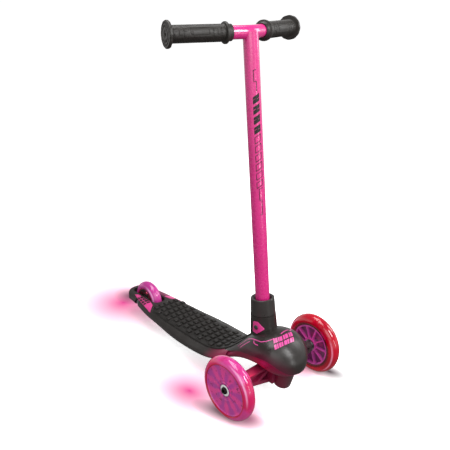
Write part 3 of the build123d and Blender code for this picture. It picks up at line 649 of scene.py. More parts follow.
# ------------------------------------------------------------------ geometry node trees
class Tree:
    """A Geometry Nodes tree under construction, with named inputs."""

    def __init__(self, name: str, inputs: Sequence[tuple[str, str, object]]) -> None:
        """Starts the tree.

        Args:
            name: The tree's name.
            inputs: (name, socket type, default) of each input after the geometry.
        """
        self.group = bpy.data.node_groups.new(name, "GeometryNodeTree")
        face = self.group.interface
        face.new_socket("Geometry", in_out="INPUT", socket_type="NodeSocketGeometry")
        face.new_socket("Geometry", in_out="OUTPUT", socket_type="NodeSocketGeometry")
        for label, kind, value in inputs:
            socket = face.new_socket(label, in_out="INPUT", socket_type=kind)
            if value is not None:
                socket.default_value = value
        self.given = self.group.nodes.new("NodeGroupInput")
        self.result = self.group.nodes.new("NodeGroupOutput")

    def add(self, kind: str, **settings: object) -> bpy.types.Node:
        """Adds a node and sets its own properties."""
        node = self.group.nodes.new(kind)
        for key, value in settings.items():
            setattr(node, key, value)
        return node

    def link(self, *pairs: tuple[bpy.types.NodeSocket, bpy.types.NodeSocket]) -> None:
        """Links each pair's first socket to its second."""
        for source, target in pairs:
            self.group.links.new(source, target)

    def attach(self, piece: bpy.types.Object, **values: object) -> None:
        """Adds the tree as a modifier, its inputs set by name."""
        modifier = piece.modifiers.new(self.group.name, "NODES")
        modifier.node_group = self.group
        for item in self.group.interface.items_tree:
            if item.in_out == "INPUT" and item.name in values:
                modifier[item.identifier] = values[item.name]


def smoothing_tree() -> Tree:
    """Joins loose triangles and shades them smooth, except over sharp edges."""
    tree = Tree("smooth_by_angle", [("Angle", "NodeSocketFloat", 0.6)])
    merge = tree.add("GeometryNodeMergeByDistance")
    merge.inputs["Distance"].default_value = 2e-6
    faces = tree.add("GeometryNodeSetShadeSmooth", domain="FACE")
    edges = tree.add("GeometryNodeSetShadeSmooth", domain="EDGE")
    angle = tree.add("GeometryNodeInputMeshEdgeAngle")
    sharper = tree.add("FunctionNodeCompare", data_type="FLOAT", operation="GREATER_THAN")
    edges.inputs["Shade Smooth"].default_value = False
    tree.link((tree.given.outputs["Geometry"], merge.inputs["Geometry"]),
              (merge.outputs[0], faces.inputs["Geometry"]),
              (angle.outputs["Unsigned Angle"], sharper.inputs[0]),
              (tree.given.outputs["Angle"], sharper.inputs[1]),
              (faces.outputs[0], edges.inputs["Geometry"]),
              (sharper.outputs[0], edges.inputs["Selection"]),
              (edges.outputs[0], tree.result.inputs["Geometry"]))
    return tree


def scatter_tree() -> Tree:
    """Sets a copy of a shape on every point, turned to the point's own facing and heading."""
    tree = Tree("set_on_points", [("Shape", "NodeSocketObject", None),
                                  ("Finish", "NodeSocketMaterial", None)])
    info = tree.add("GeometryNodeObjectInfo", transform_space="ORIGINAL")
    turn = tree.add("FunctionNodeAxesToRotation", primary_axis="Z", secondary_axis="X")
    for name, axis in (("facing", "Primary Axis"), ("heading", "Secondary Axis")):
        column = tree.add("GeometryNodeInputNamedAttribute", data_type="FLOAT_VECTOR")
        column.inputs["Name"].default_value = name
        tree.link((column.outputs["Attribute"], turn.inputs[axis]))
    points = tree.add("GeometryNodeMeshToPoints")
    copies = tree.add("GeometryNodeInstanceOnPoints")
    real = tree.add("GeometryNodeRealizeInstances")
    finish = tree.add("GeometryNodeSetMaterial")
    tree.link((tree.given.outputs["Geometry"], points.inputs["Mesh"]),
              (points.outputs[0], copies.inputs["Points"]),
              (tree.given.outputs["Shape"], info.inputs["Object"]),
              (info.outputs["Geometry"], copies.inputs["Instance"]),
              (turn.outputs[0], copies.inputs["Rotation"]),
              (copies.outputs[0], real.inputs["Geometry"]),
              (real.outputs[0], finish.inputs["Geometry"]),
              (tree.given.outputs["Finish"], finish.inputs["Material"]),
              (finish.outputs[0], tree.result.inputs["Geometry"]))
    return tree


def set_on(name: str, tree: Tree, shape: bpy.types.Object, finish: bpy.types.Material,
           seats: Sequence[Seat]) -> bpy.types.Object:
    """Repeats a shape over seats.

    Args:
        name: The new piece's name.
        tree: The scattering tree.
        shape: What is repeated, about the origin; it is removed afterwards.
        finish: Its material.
        seats: (point, facing, heading) of each copy.

    Returns:
        One plain piece with every copy.
    """
    mesh = bpy.data.meshes.new(name)
    mesh.from_pydata([tuple(p) for p, _, _ in seats], [], [])
    for key, column in (("facing", 1), ("heading", 2)):
        layer = mesh.attributes.new(key, "FLOAT_VECTOR", "POINT")
        layer.data.foreach_set("vector", [v for seat in seats for v in seat[column]])
    piece = put(name, mesh)
    tree.attach(piece, Shape=shape, Finish=finish)
    settle(piece)
    bpy.data.objects.remove(shape)
    return piece


def block(length: float, width: float, height: float, edge: float, draft: float,
          segments: int = 2) -> bpy.types.Object:
    """Rounded block standing on the origin, its top narrower by the draft on each side."""
    a, b = length / 2, width / 2
    points = [Vector((x * (a - d), y * (b - d), z)) for z, d in ((0.0, 0.0), (height, draft))
              for x, y in ((-1, -1), (1, -1), (1, 1), (-1, 1))]
    faces = [(3, 2, 1, 0), (4, 5, 6, 7)] + [(i, (i + 1) % 4, (i + 1) % 4 + 4, i + 4) for i in range(4)]
    return soften(new_piece("block_shape", points, faces), edge, segments, 20)


# ------------------------------------------------------------------ the workshop
class Workshop:
    """Finishes, trees and the calls that every sub-assembly shares."""

    def __init__(self) -> None:
        """Builds each finish once, and the geometry node trees."""
        right, left, rear = (centre_of(n) for n in ("front_tyre_right", "front_tyre_left", "rear_tyre"))
        self.smooth = smoothing_tree()
        self.scatter = scatter_tree()
        bloom, shade = screen(180, 62, 118), screen(52, 40, 46)
        pools = (
            Pool((-0.295, -0.015), (0.21, 0.19), 4, bloom, 1.0, 1.0),
            Pool((-0.312, 0.02), (0.055, 0.04), 0, shade, 0.9, 1.0),
            Pool((0.09, -0.118), (0.17, 0.12), 4, bloom, 1.0, 1.1),
            Pool((0.225, -0.09), (0.08, 0.07), 20, bloom, 0.8, 1.2),
            Pool((0.175, 0.1), (0.085, 0.07), 0, bloom, 0.9, 1.2),
            Pool((0.19, -0.108), (0.078, 0.026), 20, shade, 1.0, 0.7),
            Pool((0.225, 0.13), (0.055, 0.026), 12, shade, 1.0, 0.7),
        )
        finishes = [
            MouldedPlastic("deck_plastic", screen(34, 30, 28), screen(28, 25, 23), 0.36),
            MouldedPlastic("collar_plastic", screen(44, 40, 38), screen(36, 32, 31), roughness=0.34),
            # Skirt, nose and truck have the pink light of the right front wheel's lamps painted into their
            # colour.
            GlowingPlastic("skirt_plastic", screen(30, 26, 24), screen(136, 12, 64),
                           (right[0] + 0.01, right[1] + 0.06, 0.03), 0.1, 0.155),
            GlowingPlastic("nose_plastic", screen(33, 29, 27), screen(104, 16, 54),
                           (right[0] + 0.01, right[1] + 0.06, 0.03), 0.052, 0.092, 0.34),
            GlowingPlastic("truck_plastic", screen(54, 48, 47), screen(124, 14, 56),
                           (right[0] - 0.005, right[1] + 0.02, 0.05), 0.07, 0.118),
            Rubber("tread_rubber", screen(24, 21, 19), screen(32, 29, 27), 0.45),
            Rubber("grip_rubber", screen(34, 31, 28), screen(44, 41, 39), 0.47),
            Rubber("bush_rubber", screen(60, 58, 58), screen(74, 72, 70), 0.5),
            PowderCoat("pink_paint", screen(196, 38, 118), screen(190, 34, 112)),
            PowderCoat("pink_trim", screen(204, 56, 132), screen(186, 44, 116), 0.34),
            PowderCoat("pink_print", screen(206, 66, 144), screen(190, 54, 130), 0.4),
            Rubber("black_print", screen(24, 20, 22), screen(30, 26, 27), 0.4),
            MouldedPlastic("button_plastic", screen(52, 48, 49), screen(44, 40, 41), 0.35),
            Metal("zinc_steel", screen(196, 196, 200), 0.32),
            Metal("black_bolt", screen(58, 54, 52), 0.38),
            Metal("spacer_steel", screen(186, 186, 190), 0.36),
            Metal("magnet", screen(150, 150, 156), 0.3),
            MouldedPlastic("nylon", screen(232, 230, 222), screen(224, 221, 212), 0.4),
            MouldedPlastic("bearing_shield", screen(248, 247, 247), screen(240, 238, 238), 0.35),
            # Tyres: core and edge mix in painted glow patches of the lamps; band is the deeper red near the
            # seat, with painted glow and shade; the pale colour and radius after it make a painted
            # highlight ring.
            ClearCast("clear_tyre_right", right, screen(200, 24, 92), screen(206, 60, 144),
                      screen(186, 0, 36), (0.0475, 0.0515), screen(240, 170, 214), 0.0555),
            ClearCast("clear_tyre_left", left, screen(192, 0, 38), screen(170, 0, 34),
                      screen(84, 0, 18), (0.0435, 0.0495), screen(248, 150, 180), 0.0545, lamps=4,
                      line_turn=2.0),
            ClearCast("clear_tyre_rear", rear, screen(196, 62, 150), screen(176, 48, 136),
                      screen(150, 10, 50), (0.0265, 0.030), screen(232, 170, 220), 0.0335, 0.0035,
                      lamps=2),
            DiscPlastic("cover_plastic", right, screen(206, 58, 136), screen(166, 54, 140),
                        screen(120, 30, 86)),
            # The cores' third colour is painted shade deep inside the wheel.
            DiscPlastic("core_right", right, screen(180, 50, 130), screen(130, 40, 110),
                        screen(100, 40, 84), depth_y=(0.003, 0.011)),
            DiscPlastic("core_left", left, screen(196, 66, 152), screen(166, 58, 138),
                        screen(108, 44, 90), depth_y=(0.003, 0.0105)),
            MouldedPlastic("core_dark", screen(40, 36, 36), screen(33, 29, 30), 0.35),
            Lamp("lamp_lit", screen(255, 70, 110), 1.6),
            PaleFloor("stage_white", pools),
        ]
        self.material = {finish.name: finish.build() for finish in finishes}

    def carry(self, finish: str, *nodes: str, angle: float = 35.0) -> None:
        """Dresses CAD nodes that stay in view.

        Args:
            finish: The finish's name.
            nodes: The CAD nodes.
            angle: Edges sharper than this many degrees stay crisp.
        """
        for node in nodes:
            piece = NODES[node]
            if not piece.material_slots:
                piece.data.materials.append(None)
            for holder in piece.material_slots:
                holder.material = self.material[finish]
            self.smooth.attach(piece, Angle=math.radians(angle))
            LOG.info("carried %s in %s", node, finish)

    def fit(self, piece: bpy.types.Object, body: str, finish: str,
            replaces: Sequence[str] = ()) -> None:
        """Dresses a new piece and fixes it to its body.

        Args:
            piece: The piece.
            body: The CAD body that it rides on.
            finish: The finish's name.
            replaces: CAD nodes that it stands for.
        """
        piece.data.materials.clear()
        piece.data.materials.append(self.material[finish])
        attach(piece, body)
        if replaces:
            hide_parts(*replaces)
        LOG.info("fitted %s on %s in %s", piece.name, body, finish)


def centre_of(node: str) -> Vector:
    """Middle of a CAD node's box."""
    low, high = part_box(node)
    return (low + high) / 2


# ------------------------------------------------------------------ wheels
@dataclass
class FrontWheel:
    """One light-up front wheel: tyre, core, cover disc, bearings and lamps."""

    side: Side
    radius: float = 60.0 * MM
    width: float = 26.0 * MM
    seat_r: float = 41.0 * MM
    cover_r: float = 47.8 * MM
    cover_low: float = 8.4 * MM
    cover_high: float = 10.6 * MM
    hub_r: float = 13.6 * MM
    lamps: int = 10

    @property
    def spindle(self) -> Spindle:
        """The wheel's axis, outboard along it."""
        centre = centre_of(f"front_tyre_{self.side.word}")
        return Spindle(centre, Vector((0, self.side.value, 0)), Vector((0, 0, 1)))

    @property
    def body(self) -> str:
        """The CAD body's name."""
        return f"wheel_front_{self.side.word}"

    def tyre(self) -> bpy.types.Object:
        """Turned tyre with a round crown and a stepped seat for the cover."""
        crown = self.width / 2
        base = self.radius - crown
        lip = self.cover_r + 0.2 * MM
        edge = math.degrees(math.asin(min(1.0, (lip - base) / crown)))
        profile = arc((base, 0), crown, -90, 90 - edge, 40)
        profile += [(lip + 0.1 * MM, self.cover_low + 0.9 * MM), (lip - 0.6 * MM, self.cover_low),
                    (self.seat_r, self.cover_low), (self.seat_r, -crown + 0.9 * MM),
                    (self.seat_r + 0.9 * MM, -crown + 0.25 * MM), (base - 2.4 * MM, -crown)]
        return lathe(f"tyre_{self.side.word}", self.spindle, profile, 144)

    def cover(self) -> bpy.types.Object:
        """Cover disc: rim bead, gentle dish, and a collar round the bearing."""
        low, high = self.cover_low, self.cover_high
        r, h = self.cover_r, self.hub_r
        profile = [(h, low), (r - 0.3 * MM, low), (r, low + 0.3 * MM), (r, high - 0.1 * MM)]
        bead = 0.9 * MM
        profile += arc((r - bead, high - 0.1 * MM), bead, 0, 180, 8)
        profile += [(r - 3.0 * MM, high - 0.5 * MM), (r - 9 * MM, high - 0.15 * MM), (28 * MM, high),
                    (21 * MM, high), (20.4 * MM, high + 0.25 * MM), (18.6 * MM, high + 0.25 * MM),
                    (18 * MM, high - 0.3 * MM), (h + 1.4 * MM, high - 0.3 * MM),
                    (h + 1.0 * MM, high + 0.3 * MM), (h, high + 0.3 * MM)]
        return lathe(f"cover_disc_{self.side.word}", self.spindle, profile, 144)

    def studs(self, shop: Workshop) -> bpy.types.Object:
        """Small moulded studs and dashes in two rings on the cover disc."""
        line = self.spindle
        seats = []
        for i in range(self.lamps):
            for radius, turn in ((33 * MM, 0.0), (27 * MM, 0.16), (38.5 * MM, 0.3)):
                if radius > 35 * MM and i % 2:
                    continue
                angle = 2 * math.pi * i / self.lamps + turn
                point = line.at(radius, self.cover_high - 0.25 * MM, angle)
                seats.append((point, line.along, line.radial(angle)))
        return set_on(f"cover_studs_{self.side.word}", shop.scatter,
                      block(3.0 * MM, 1.7 * MM, 0.55 * MM, 0.25 * MM, 0.2 * MM),
                      shop.material["cover_plastic"], seats)

    def seal(self) -> bpy.types.Object:
        """Pale dust shield of the outer bearing."""
        out = self.cover_high
        profile = [(6.7 * MM, out - 0.6 * MM), (10.6 * MM, out - 0.6 * MM), (10.6 * MM, out - 0.05 * MM),
                   (9.9 * MM, out + 0.12 * MM), (7.4 * MM, out + 0.12 * MM), (6.7 * MM, out - 0.05 * MM)]
        return lathe(f"bearing_seal_{self.side.word}", self.spindle, profile, 72)

    def build(self, shop: Workshop) -> None:
        """Makes and dresses the wheel."""
        word = self.side.word
        shop.fit(self.tyre(), self.body, f"clear_tyre_{word}", [f"front_tyre_{word}"])
        shop.fit(self.cover(), self.body, "cover_plastic", [f"front_cover_{word}"])
        shop.fit(self.studs(shop), self.body, "cover_plastic")
        shop.fit(self.seal(), self.body, "bearing_shield")
        shop.carry(f"core_{word}", f"front_core_{word}")
        shop.carry("spacer_steel", f"front_bearings_{word}")
        shop.carry("lamp_lit", f"front_led_{word}")


@dataclass
class RearWheel:
    """The small rear wheel between the tail's arms."""

    radius: float = 41.5 * MM
    width: float = 24.0 * MM
    seat_r: float = 26.0 * MM

    def tyre(self) -> bpy.types.Object:
        """Turned tyre with a round crown and bevelled inner edges."""
        line = Spindle(centre_of("rear_tyre"), Vector((0, -1, 0)), Vector((0, 0, 1)))
        crown = self.width / 2
        base = self.radius - crown
        profile = arc((base, 0), crown, -90, 90, 40)
        profile += [(self.seat_r + 1.4 * MM, crown), (self.seat_r + 0.4 * MM, crown - 0.4 * MM),
                    (self.seat_r, crown - 1.2 * MM), (self.seat_r, -crown + 1.2 * MM),
                    (self.seat_r + 0.4 * MM, -crown + 0.4 * MM), (self.seat_r + 1.4 * MM, -crown)]
        return lathe("tyre_rear", line, profile, 144)

    def build(self, shop: Workshop) -> None:
        """Makes and dresses the wheel."""
        shop.fit(self.tyre(), "wheel_rear", "clear_tyre_rear", ["rear_tyre"])
        shop.carry("core_dark", "rear_core")
        shop.carry("spacer_steel", "rear_bearings", "rear_spacers")
        shop.carry("lamp_lit", "rear_led")
        shop.carry("magnet", "rear_magnet")
        shop.carry("zinc_steel", "rear_axle", "rear_nut")


# ------------------------------------------------------------------ truck
@dataclass
class Truck:
    """The turning truck with its stub axles, and the kingpin that it turns on."""

    def build(self, shop: Workshop) -> None:
        """Dresses the truck's nodes."""
        shop.carry("truck_plastic", "truck_hanger", angle=28)
        for side in Side:
            shop.carry("black_bolt", f"front_axle_{side.word}")
            shop.carry("zinc_steel", f"front_nut_{side.word}")
            shop.carry("spacer_steel", f"front_spacer_{side.word}")
            shop.carry("magnet", f"front_magnet_{side.word}")
        shop.carry("zinc_steel", "kingpin", "kingpin_nut")
        shop.carry("nylon", "pivot_washer")
        shop.carry("bush_rubber", "steer_bushing")


# ------------------------------------------------------------------ deck
@dataclass
class TreadMat:
    """Rubber mat: a base sheet that follows the deck, and staggered raised blocks."""

    thick: float = 2.2 * MM
    block_high: float = 2.9 * MM
    block_sunk: float = 0.4 * MM
    block_size: Flat = (11.4 * MM, 10.4 * MM)
    pitch: Flat = (17.6 * MM, 13.0 * MM)
    outline: tuple[Flat, ...] = (
        (-344, 31), (-334, 38), (-300, 41), (-240, 42.5), (-190, 43.5), (-150, 42.5), (-125, 39),
        (-105, 34), (-88, 28.5), (-66, 20))

    def half(self, station: float) -> float:
        """Half width of the mat at a station in millimetres."""
        pairs = list(zip(self.outline, self.outline[1:]))
        (x0, y0), (x1, y1) = next(((p, q) for p, q in pairs if p[0] <= station <= q[0]), pairs[-1])
        return (y0 + (y1 - y0) * (station - x0) / (x1 - x0)) * MM

    def top(self, x: float, y: float, under: BVHTree) -> tuple[Vector, Vector]:
        """Point and facing of a surface straight below a place."""
        hit, normal = look_down(under, x, y)
        if hit is None:
            raise ValueError(f"no surface under {x:.3f}, {y:.3f}")
        return hit, normal if normal.z > 0 else -normal

    def sheet(self, axle_x: float, under: BVHTree) -> bpy.types.Object:
        """The mat's base sheet, with rounded corners in plan."""
        across, along = 24, 92
        edge_drop = 0.7 * MM
        first, last = self.outline[0][0], self.outline[-1][0]
        points, faces = [], []
        for layer in (0, 1):
            for i in range(along + 1):
                station = first + (last - first) * i / along
                half = self.half(station)
                for j in range(across + 1):
                    share = 2 * j / across - 1
                    inset = (edge_drop if abs(share) == 1 else 0) * layer
                    y = share * (half - inset)
                    hit, normal = self.top(axle_x + station * MM, y, under)
                    edge = abs(share) == 1 or i in (0, along)
                    rise = (self.thick - (edge_drop if edge else 0)) if layer else -SUNK
                    points.append(hit + normal * rise)
        size = (along + 1) * (across + 1)

        def at(layer: int, i: int, j: int) -> int:
            """Number of a grid point."""
            return layer * size + i * (across + 1) + j

        for i in range(along):
            for j in range(across):
                faces.append((at(1, i, j), at(1, i + 1, j), at(1, i + 1, j + 1), at(1, i, j + 1)))
                faces.append((at(0, i, j + 1), at(0, i + 1, j + 1), at(0, i + 1, j), at(0, i, j)))
        for i in range(along):
            for j in (0, across):
                faces.append((at(0, i, j), at(0, i + 1, j), at(1, i + 1, j), at(1, i, j)))
        for j in range(across):
            for i in (0, along):
                faces.append((at(0, i, j), at(0, i, j + 1), at(1, i, j + 1), at(1, i, j)))
        return new_piece("tread_sheet", points, faces)

    def seats(self, axle_x: float, under: BVHTree) -> list[Seat]:
        """Place, facing and heading of every block."""
        found = []
        start, end = self.outline[0][0] + 9, self.outline[-1][0] - 4
        rows = int((end - start) * MM / self.pitch[0]) + 1
        for row in range(rows):
            station = start + row * self.pitch[0] / MM
            half = self.half(station) - self.block_size[1] / 2 - 1.5 * MM
            shift = self.pitch[1] / 2 if row % 2 else 0.0
            count = int((half - shift) / self.pitch[1]) if half > shift else -1
            sides = [i * self.pitch[1] + shift for i in range(count + 1)]
            for y in sorted(set(sides + [-v for v in sides])):
                hit, _ = self.top(axle_x + station * MM, y, under)
                normal = self.facing(axle_x + station * MM, y, under)
                found.append((hit + normal * (self.thick - self.block_sunk), normal, Vector((1, 0, 0))))
        return found

    def facing(self, x: float, y: float, under: BVHTree) -> Vector:
        """Facing of the surface, averaged over a block's footprint."""
        step = 4 * MM
        a, b = self.top(x - step, y, under)[0], self.top(x + step, y, under)[0]
        c, d = self.top(x, y - step, under)[0], self.top(x, y + step, under)[0]
        return (b - a).cross(d - c).normalized()

    def build(self, shop: Workshop, axle_x: float) -> None:
        """Makes and dresses the mat."""
        under = surface_of("deck_board", "nose_shell")
        shop.fit(self.sheet(axle_x, under), "deck", "tread_rubber", ["grip_mat"])
        shape = block(*self.block_size, self.block_high + self.block_sunk, 1.1 * MM, 0.7 * MM, 3)
        blocks = set_on("tread_blocks", shop.scatter, shape, shop.material["tread_rubber"],
                        self.seats(axle_x, under))
        shop.fit(blocks, "deck", "tread_rubber")


@dataclass
class Deck:
    """Deck board, nose, their inlays and screws, and the printed pattern on the nose."""

    print_lift: float = 0.18 * MM
    line_width: float = 1.7 * MM
    steps: int = 6
    reach: float = 0.12
    main_trace: tuple[Point, ...] = ((-58, -38, 87), (-47, -36, 99), (-38, -32, 109), (-22, -34.5, 117.5),
                                     (-10, -36.5, 120.5), (1, -37, 122.5), (9, -33, 125.5),
                                     (15, -26, 128.5), (17, -20, 130))
    branch: tuple[Point, ...] = ((-18, -34.5, 119), (-14, -40.5, 116), (-7, -42.5, 116), (-1, -42.7, 117))
    lower_trace: tuple[Point, ...] = ((-47.5, -43, 91), (-34, -41, 105), (-25.5, -38.7, 112.5))
    top_trace: tuple[Point, ...] = ((17, -3, 132.6), (16, 1, 132.7), (14.3, 11, 132.2), (13.7, 20, 130.6))
    band_low: tuple[Point, ...] = ((32, -33.5, 119), (37, -18, 123), (39.5, 10.5, 123))
    band_high: tuple[Point, ...] = ((15.5, -23, 129.7), (21.5, -9.7, 131.2), (21, 20, 129))

    def place(self, point: Sequence[float], axle_x: float) -> Vector:
        """Frame point of a (station, side, height) point in millimetres."""
        return Vector((axle_x + point[0] * MM, point[1] * MM, point[2] * MM))

    def ribbon(self, name: str, traces: Sequence[Sequence[Vector]], surface: BVHTree) -> bpy.types.Object:
        """Printed lines of even width that lie on the nose.

        Args:
            name: The piece's name.
            traces: Each line's corner points, near the surface.
            surface: The nose.

        Returns:
            The piece with every line.
        """
        points, faces = [], []
        for trace in traces:
            pairs = zip(trace, trace[1:])
            fine = [a.lerp(b, i / self.steps) for a, b in pairs for i in range(self.steps)] + [trace[-1]]
            seats = [surface.find_nearest(p)[:2] for p in fine]
            for k, (spot, normal) in enumerate(seats):
                ahead = seats[min(k + 1, len(seats) - 1)][0] - seats[max(k - 1, 0)][0]
                across = normal.cross(ahead).normalized() * self.line_width / 2
                base = len(points)
                points += [spot - across - normal * SUNK, spot - across + normal * self.print_lift,
                           spot + across + normal * self.print_lift, spot + across - normal * SUNK]
                if k:
                    faces += [(base - 4 + a, base - 4 + b, base + b, base + a)
                              for a, b in ((0, 1), (1, 2), (2, 3), (3, 0))]
                if k in (0, len(seats) - 1):
                    faces.append((base, base + 1, base + 2, base + 3))
        return new_piece(name, points, faces, smooth=False)

    def emblem(self, name: str, axle_x: float, surface: BVHTree) -> bpy.types.Object:
        """Row of slanted blocks printed across the nose's shoulder."""
        rows = [[self.place(p, axle_x) for p in curve] for curve in (self.band_low, self.band_high)]
        heart = self.place((12, 0, 95), axle_x)

        def along(curve: Sequence[Vector], share: float) -> Vector:
            """Point at a share of a three-point curve."""
            k, t = (0, share * 2) if share < 0.5 else (1, share * 2 - 1)
            return curve[k].lerp(curve[k + 1], t)

        def spot(s: float, t: float, lift: float) -> Vector:
            """Point of the band on the nose, looking inwards from outside."""
            out = (along(rows[0], s).lerp(along(rows[1], s), t) - heart).normalized()
            hit, normal, *_ = surface.ray_cast(heart + out * self.reach, -out)
            return hit + normal * lift

        quads = []
        lean = 0.05
        for start, width in ((0.0, 0.25), (0.295, 0.225), (0.56, 0.19), (0.79, 0.16)):
            for low, high in ((0.0, 0.42), (0.54, 1.0)):
                bars = ((0.0, 0.36), (0.46, 1.0)) if low else ((0.0, 0.54), (0.64, 1.0))
                for first, last in bars:
                    corners = ((first, low), (last, low), (last, high), (first, high))
                    quads.append([(start + width * q + lean * t, t) for q, t in corners])
        return patch(name, spot, quads, 0.05, self.print_lift)

    def inlay_print(self, side: Side) -> bpy.types.Object:
        """Dark slanted blocks printed across the middle of a tail inlay."""
        node = f"tail_inlay_{side.word}"
        surface = surface_of(node)
        low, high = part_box(node)

        def edges(x: float) -> Flat:
            """Inner and outer edge of the inlay at a station."""
            sides = [low.y + (high.y - low.y) * i / 60 for i in range(61)]
            on = [y for y in sides if look_down(surface, x, y)[0]]
            return min(on), max(on)

        def spot(share: float, across: float, lift: float) -> Vector:
            """Point of the inlay's top from its share along and across."""
            x = low.x + (high.x - low.x) * share
            first, last = edges(x)
            y = first + (last - first) * (0.04 + 0.92 * across)
            hit, normal = look_down(surface, x, y)
            return hit + normal * lift

        quads = []
        for start, end in ((0.2, 0.3), (0.325, 0.42), (0.445, 0.53), (0.555, 0.62)):
            for bottom, top in ((0.0, 0.4), (0.5, 1.0)):
                corners = ((start, bottom), (end, bottom), (end, top), (start, top))
                quads.append([(along + 0.05 * across, across) for along, across in corners])
        return patch(f"inlay_print_{side.word}", spot, quads, 0.05, self.print_lift)

    def build(self, shop: Workshop, axle_x: float) -> None:
        """Dresses the deck, prints the inlays and draws the lines on the nose."""
        shop.carry("skirt_plastic", "deck_board", angle=40)
        shop.carry("nose_plastic", "nose_shell", angle=40)
        shop.carry("collar_plastic", "lock_collar", angle=30)
        for side in Side:
            shop.carry("pink_trim", f"tail_inlay_{side.word}")
            shop.fit(self.inlay_print(side), "deck", "black_print")
        shop.carry("zinc_steel", "deck_screws", "snap_spring")
        shop.carry("pink_trim", "badge", angle=30)
        shop.carry("button_plastic", "snap_button", angle=30)
        surface = surface_of("nose_shell")
        for side in Side:
            flip = Vector((1, -side.value, 1))
            traces = [[Vector(a * b for a, b in zip(self.place(p, axle_x), flip)) for p in trace]
                      for trace in (self.main_trace, self.branch, self.lower_trace)]
            if side is Side.RIGHT:
                traces.append([self.place(p, axle_x) for p in self.top_trace])
            lines = self.ribbon(f"nose_lines_{side.word}", traces, surface)
            shop.fit(lines, "deck", "pink_print")
        shop.fit(self.emblem("nose_emblem", axle_x, surface), "deck", "pink_print")


# ------------------------------------------------------------------ stem, bar and grips
@dataclass
class Column:
    """Stem, crossbar and the print on the stem's front."""

    radius: float = 13.1 * MM
    print_lift: float = 0.12 * MM
    print_turn: float = math.radians(-24)
    half_width: float = 5.8 * MM

    def __post_init__(self) -> None:
        """Takes the stem's line from its clamp mount."""
        mount = next(m for m in frame["record"]["mounts"] if m["name"] == "stem_clamp_zone")
        along = Vector(mount["axis"]).normalized()
        start = Vector((0, -1, 0)).cross(along).normalized()
        start = Matrix.Rotation(self.print_turn, 3, along) @ (start if start.x > 0 else -start)
        self.line = Spindle(Vector(mount["pos_m"]), along, start)

    def spot(self, across: float, height: float, lift: float) -> Vector:
        """Point of the print from its distance across and its height over the floor."""
        out = (height - self.line.origin.z) / self.line.along.z
        return self.line.at(self.radius + lift, out, across / self.radius)

    def prints(self) -> bpy.types.Object:
        """Slanted blocks, outlined blocks and thin traces down the stem's front."""
        w = self.half_width
        slant = 3.2 * MM
        quads: list[list[Flat]] = []

        def bar(z0: float, z1: float, y0: float = -w, y1: float = w, lean: float = slant) -> None:
            """Adds one slanted bar between two heights."""
            a, b = lean * y0 / w, lean * y1 / w
            quads.append([(y0, z0 * MM + a), (y1, z0 * MM + b), (y1, z1 * MM + b), (y0, z1 * MM + a)])

        thin = 1.1 * MM
        for low, high in ((538, 550), (521, 533.5), (504.5, 516.5), (488, 500)):
            middle = (low + high) / 2
            bar(low, low + 4.8)
            bar(high - 4.6, high)
            bar(low + 4.8, middle + 0.8, -w, w / 4)
            bar(middle - 0.6, high - 4.6, -w / 4, w)
        for low, high in ((472, 484), (456.5, 468), (441, 452.5), (425.5, 437), (410, 421.5), (395.5, 406)):
            bar(low, low + 1.2)
            bar(high - 1.2, high)
            bar(low + 1.2, high - 1.2, -w, -w + thin)
            bar(low + 1.2, high - 1.2, w - thin, w)
        for low, high, y in ((556, 572, 0.25), (572, 590, -0.5), (372, 392, -0.3), (346, 372, 0.45)):
            bar(low, high, y * w - thin / 2, y * w + thin / 2, 0.0)
        for z, y0, y1 in ((571.5, -0.5, 0.25), (590, -0.5, 0.3), (391.5, -0.3, 0.9), (371.5, -0.3, 0.45),
                          (346, -0.2, 0.45)):
            bar(z, z + 1.1, y0 * w, y1 * w, slant * 0.6)
        return patch("stem_print", self.spot, quads, 1.2 * MM, self.print_lift)

    def build(self, shop: Workshop) -> None:
        """Dresses the column."""
        shop.carry("pink_paint", "stem_tube", "crossbar", angle=30)
        shop.carry("deck_plastic", "stem_plug", "bar_plugs")
        shop.fit(self.prints(), "deck", "black_print")


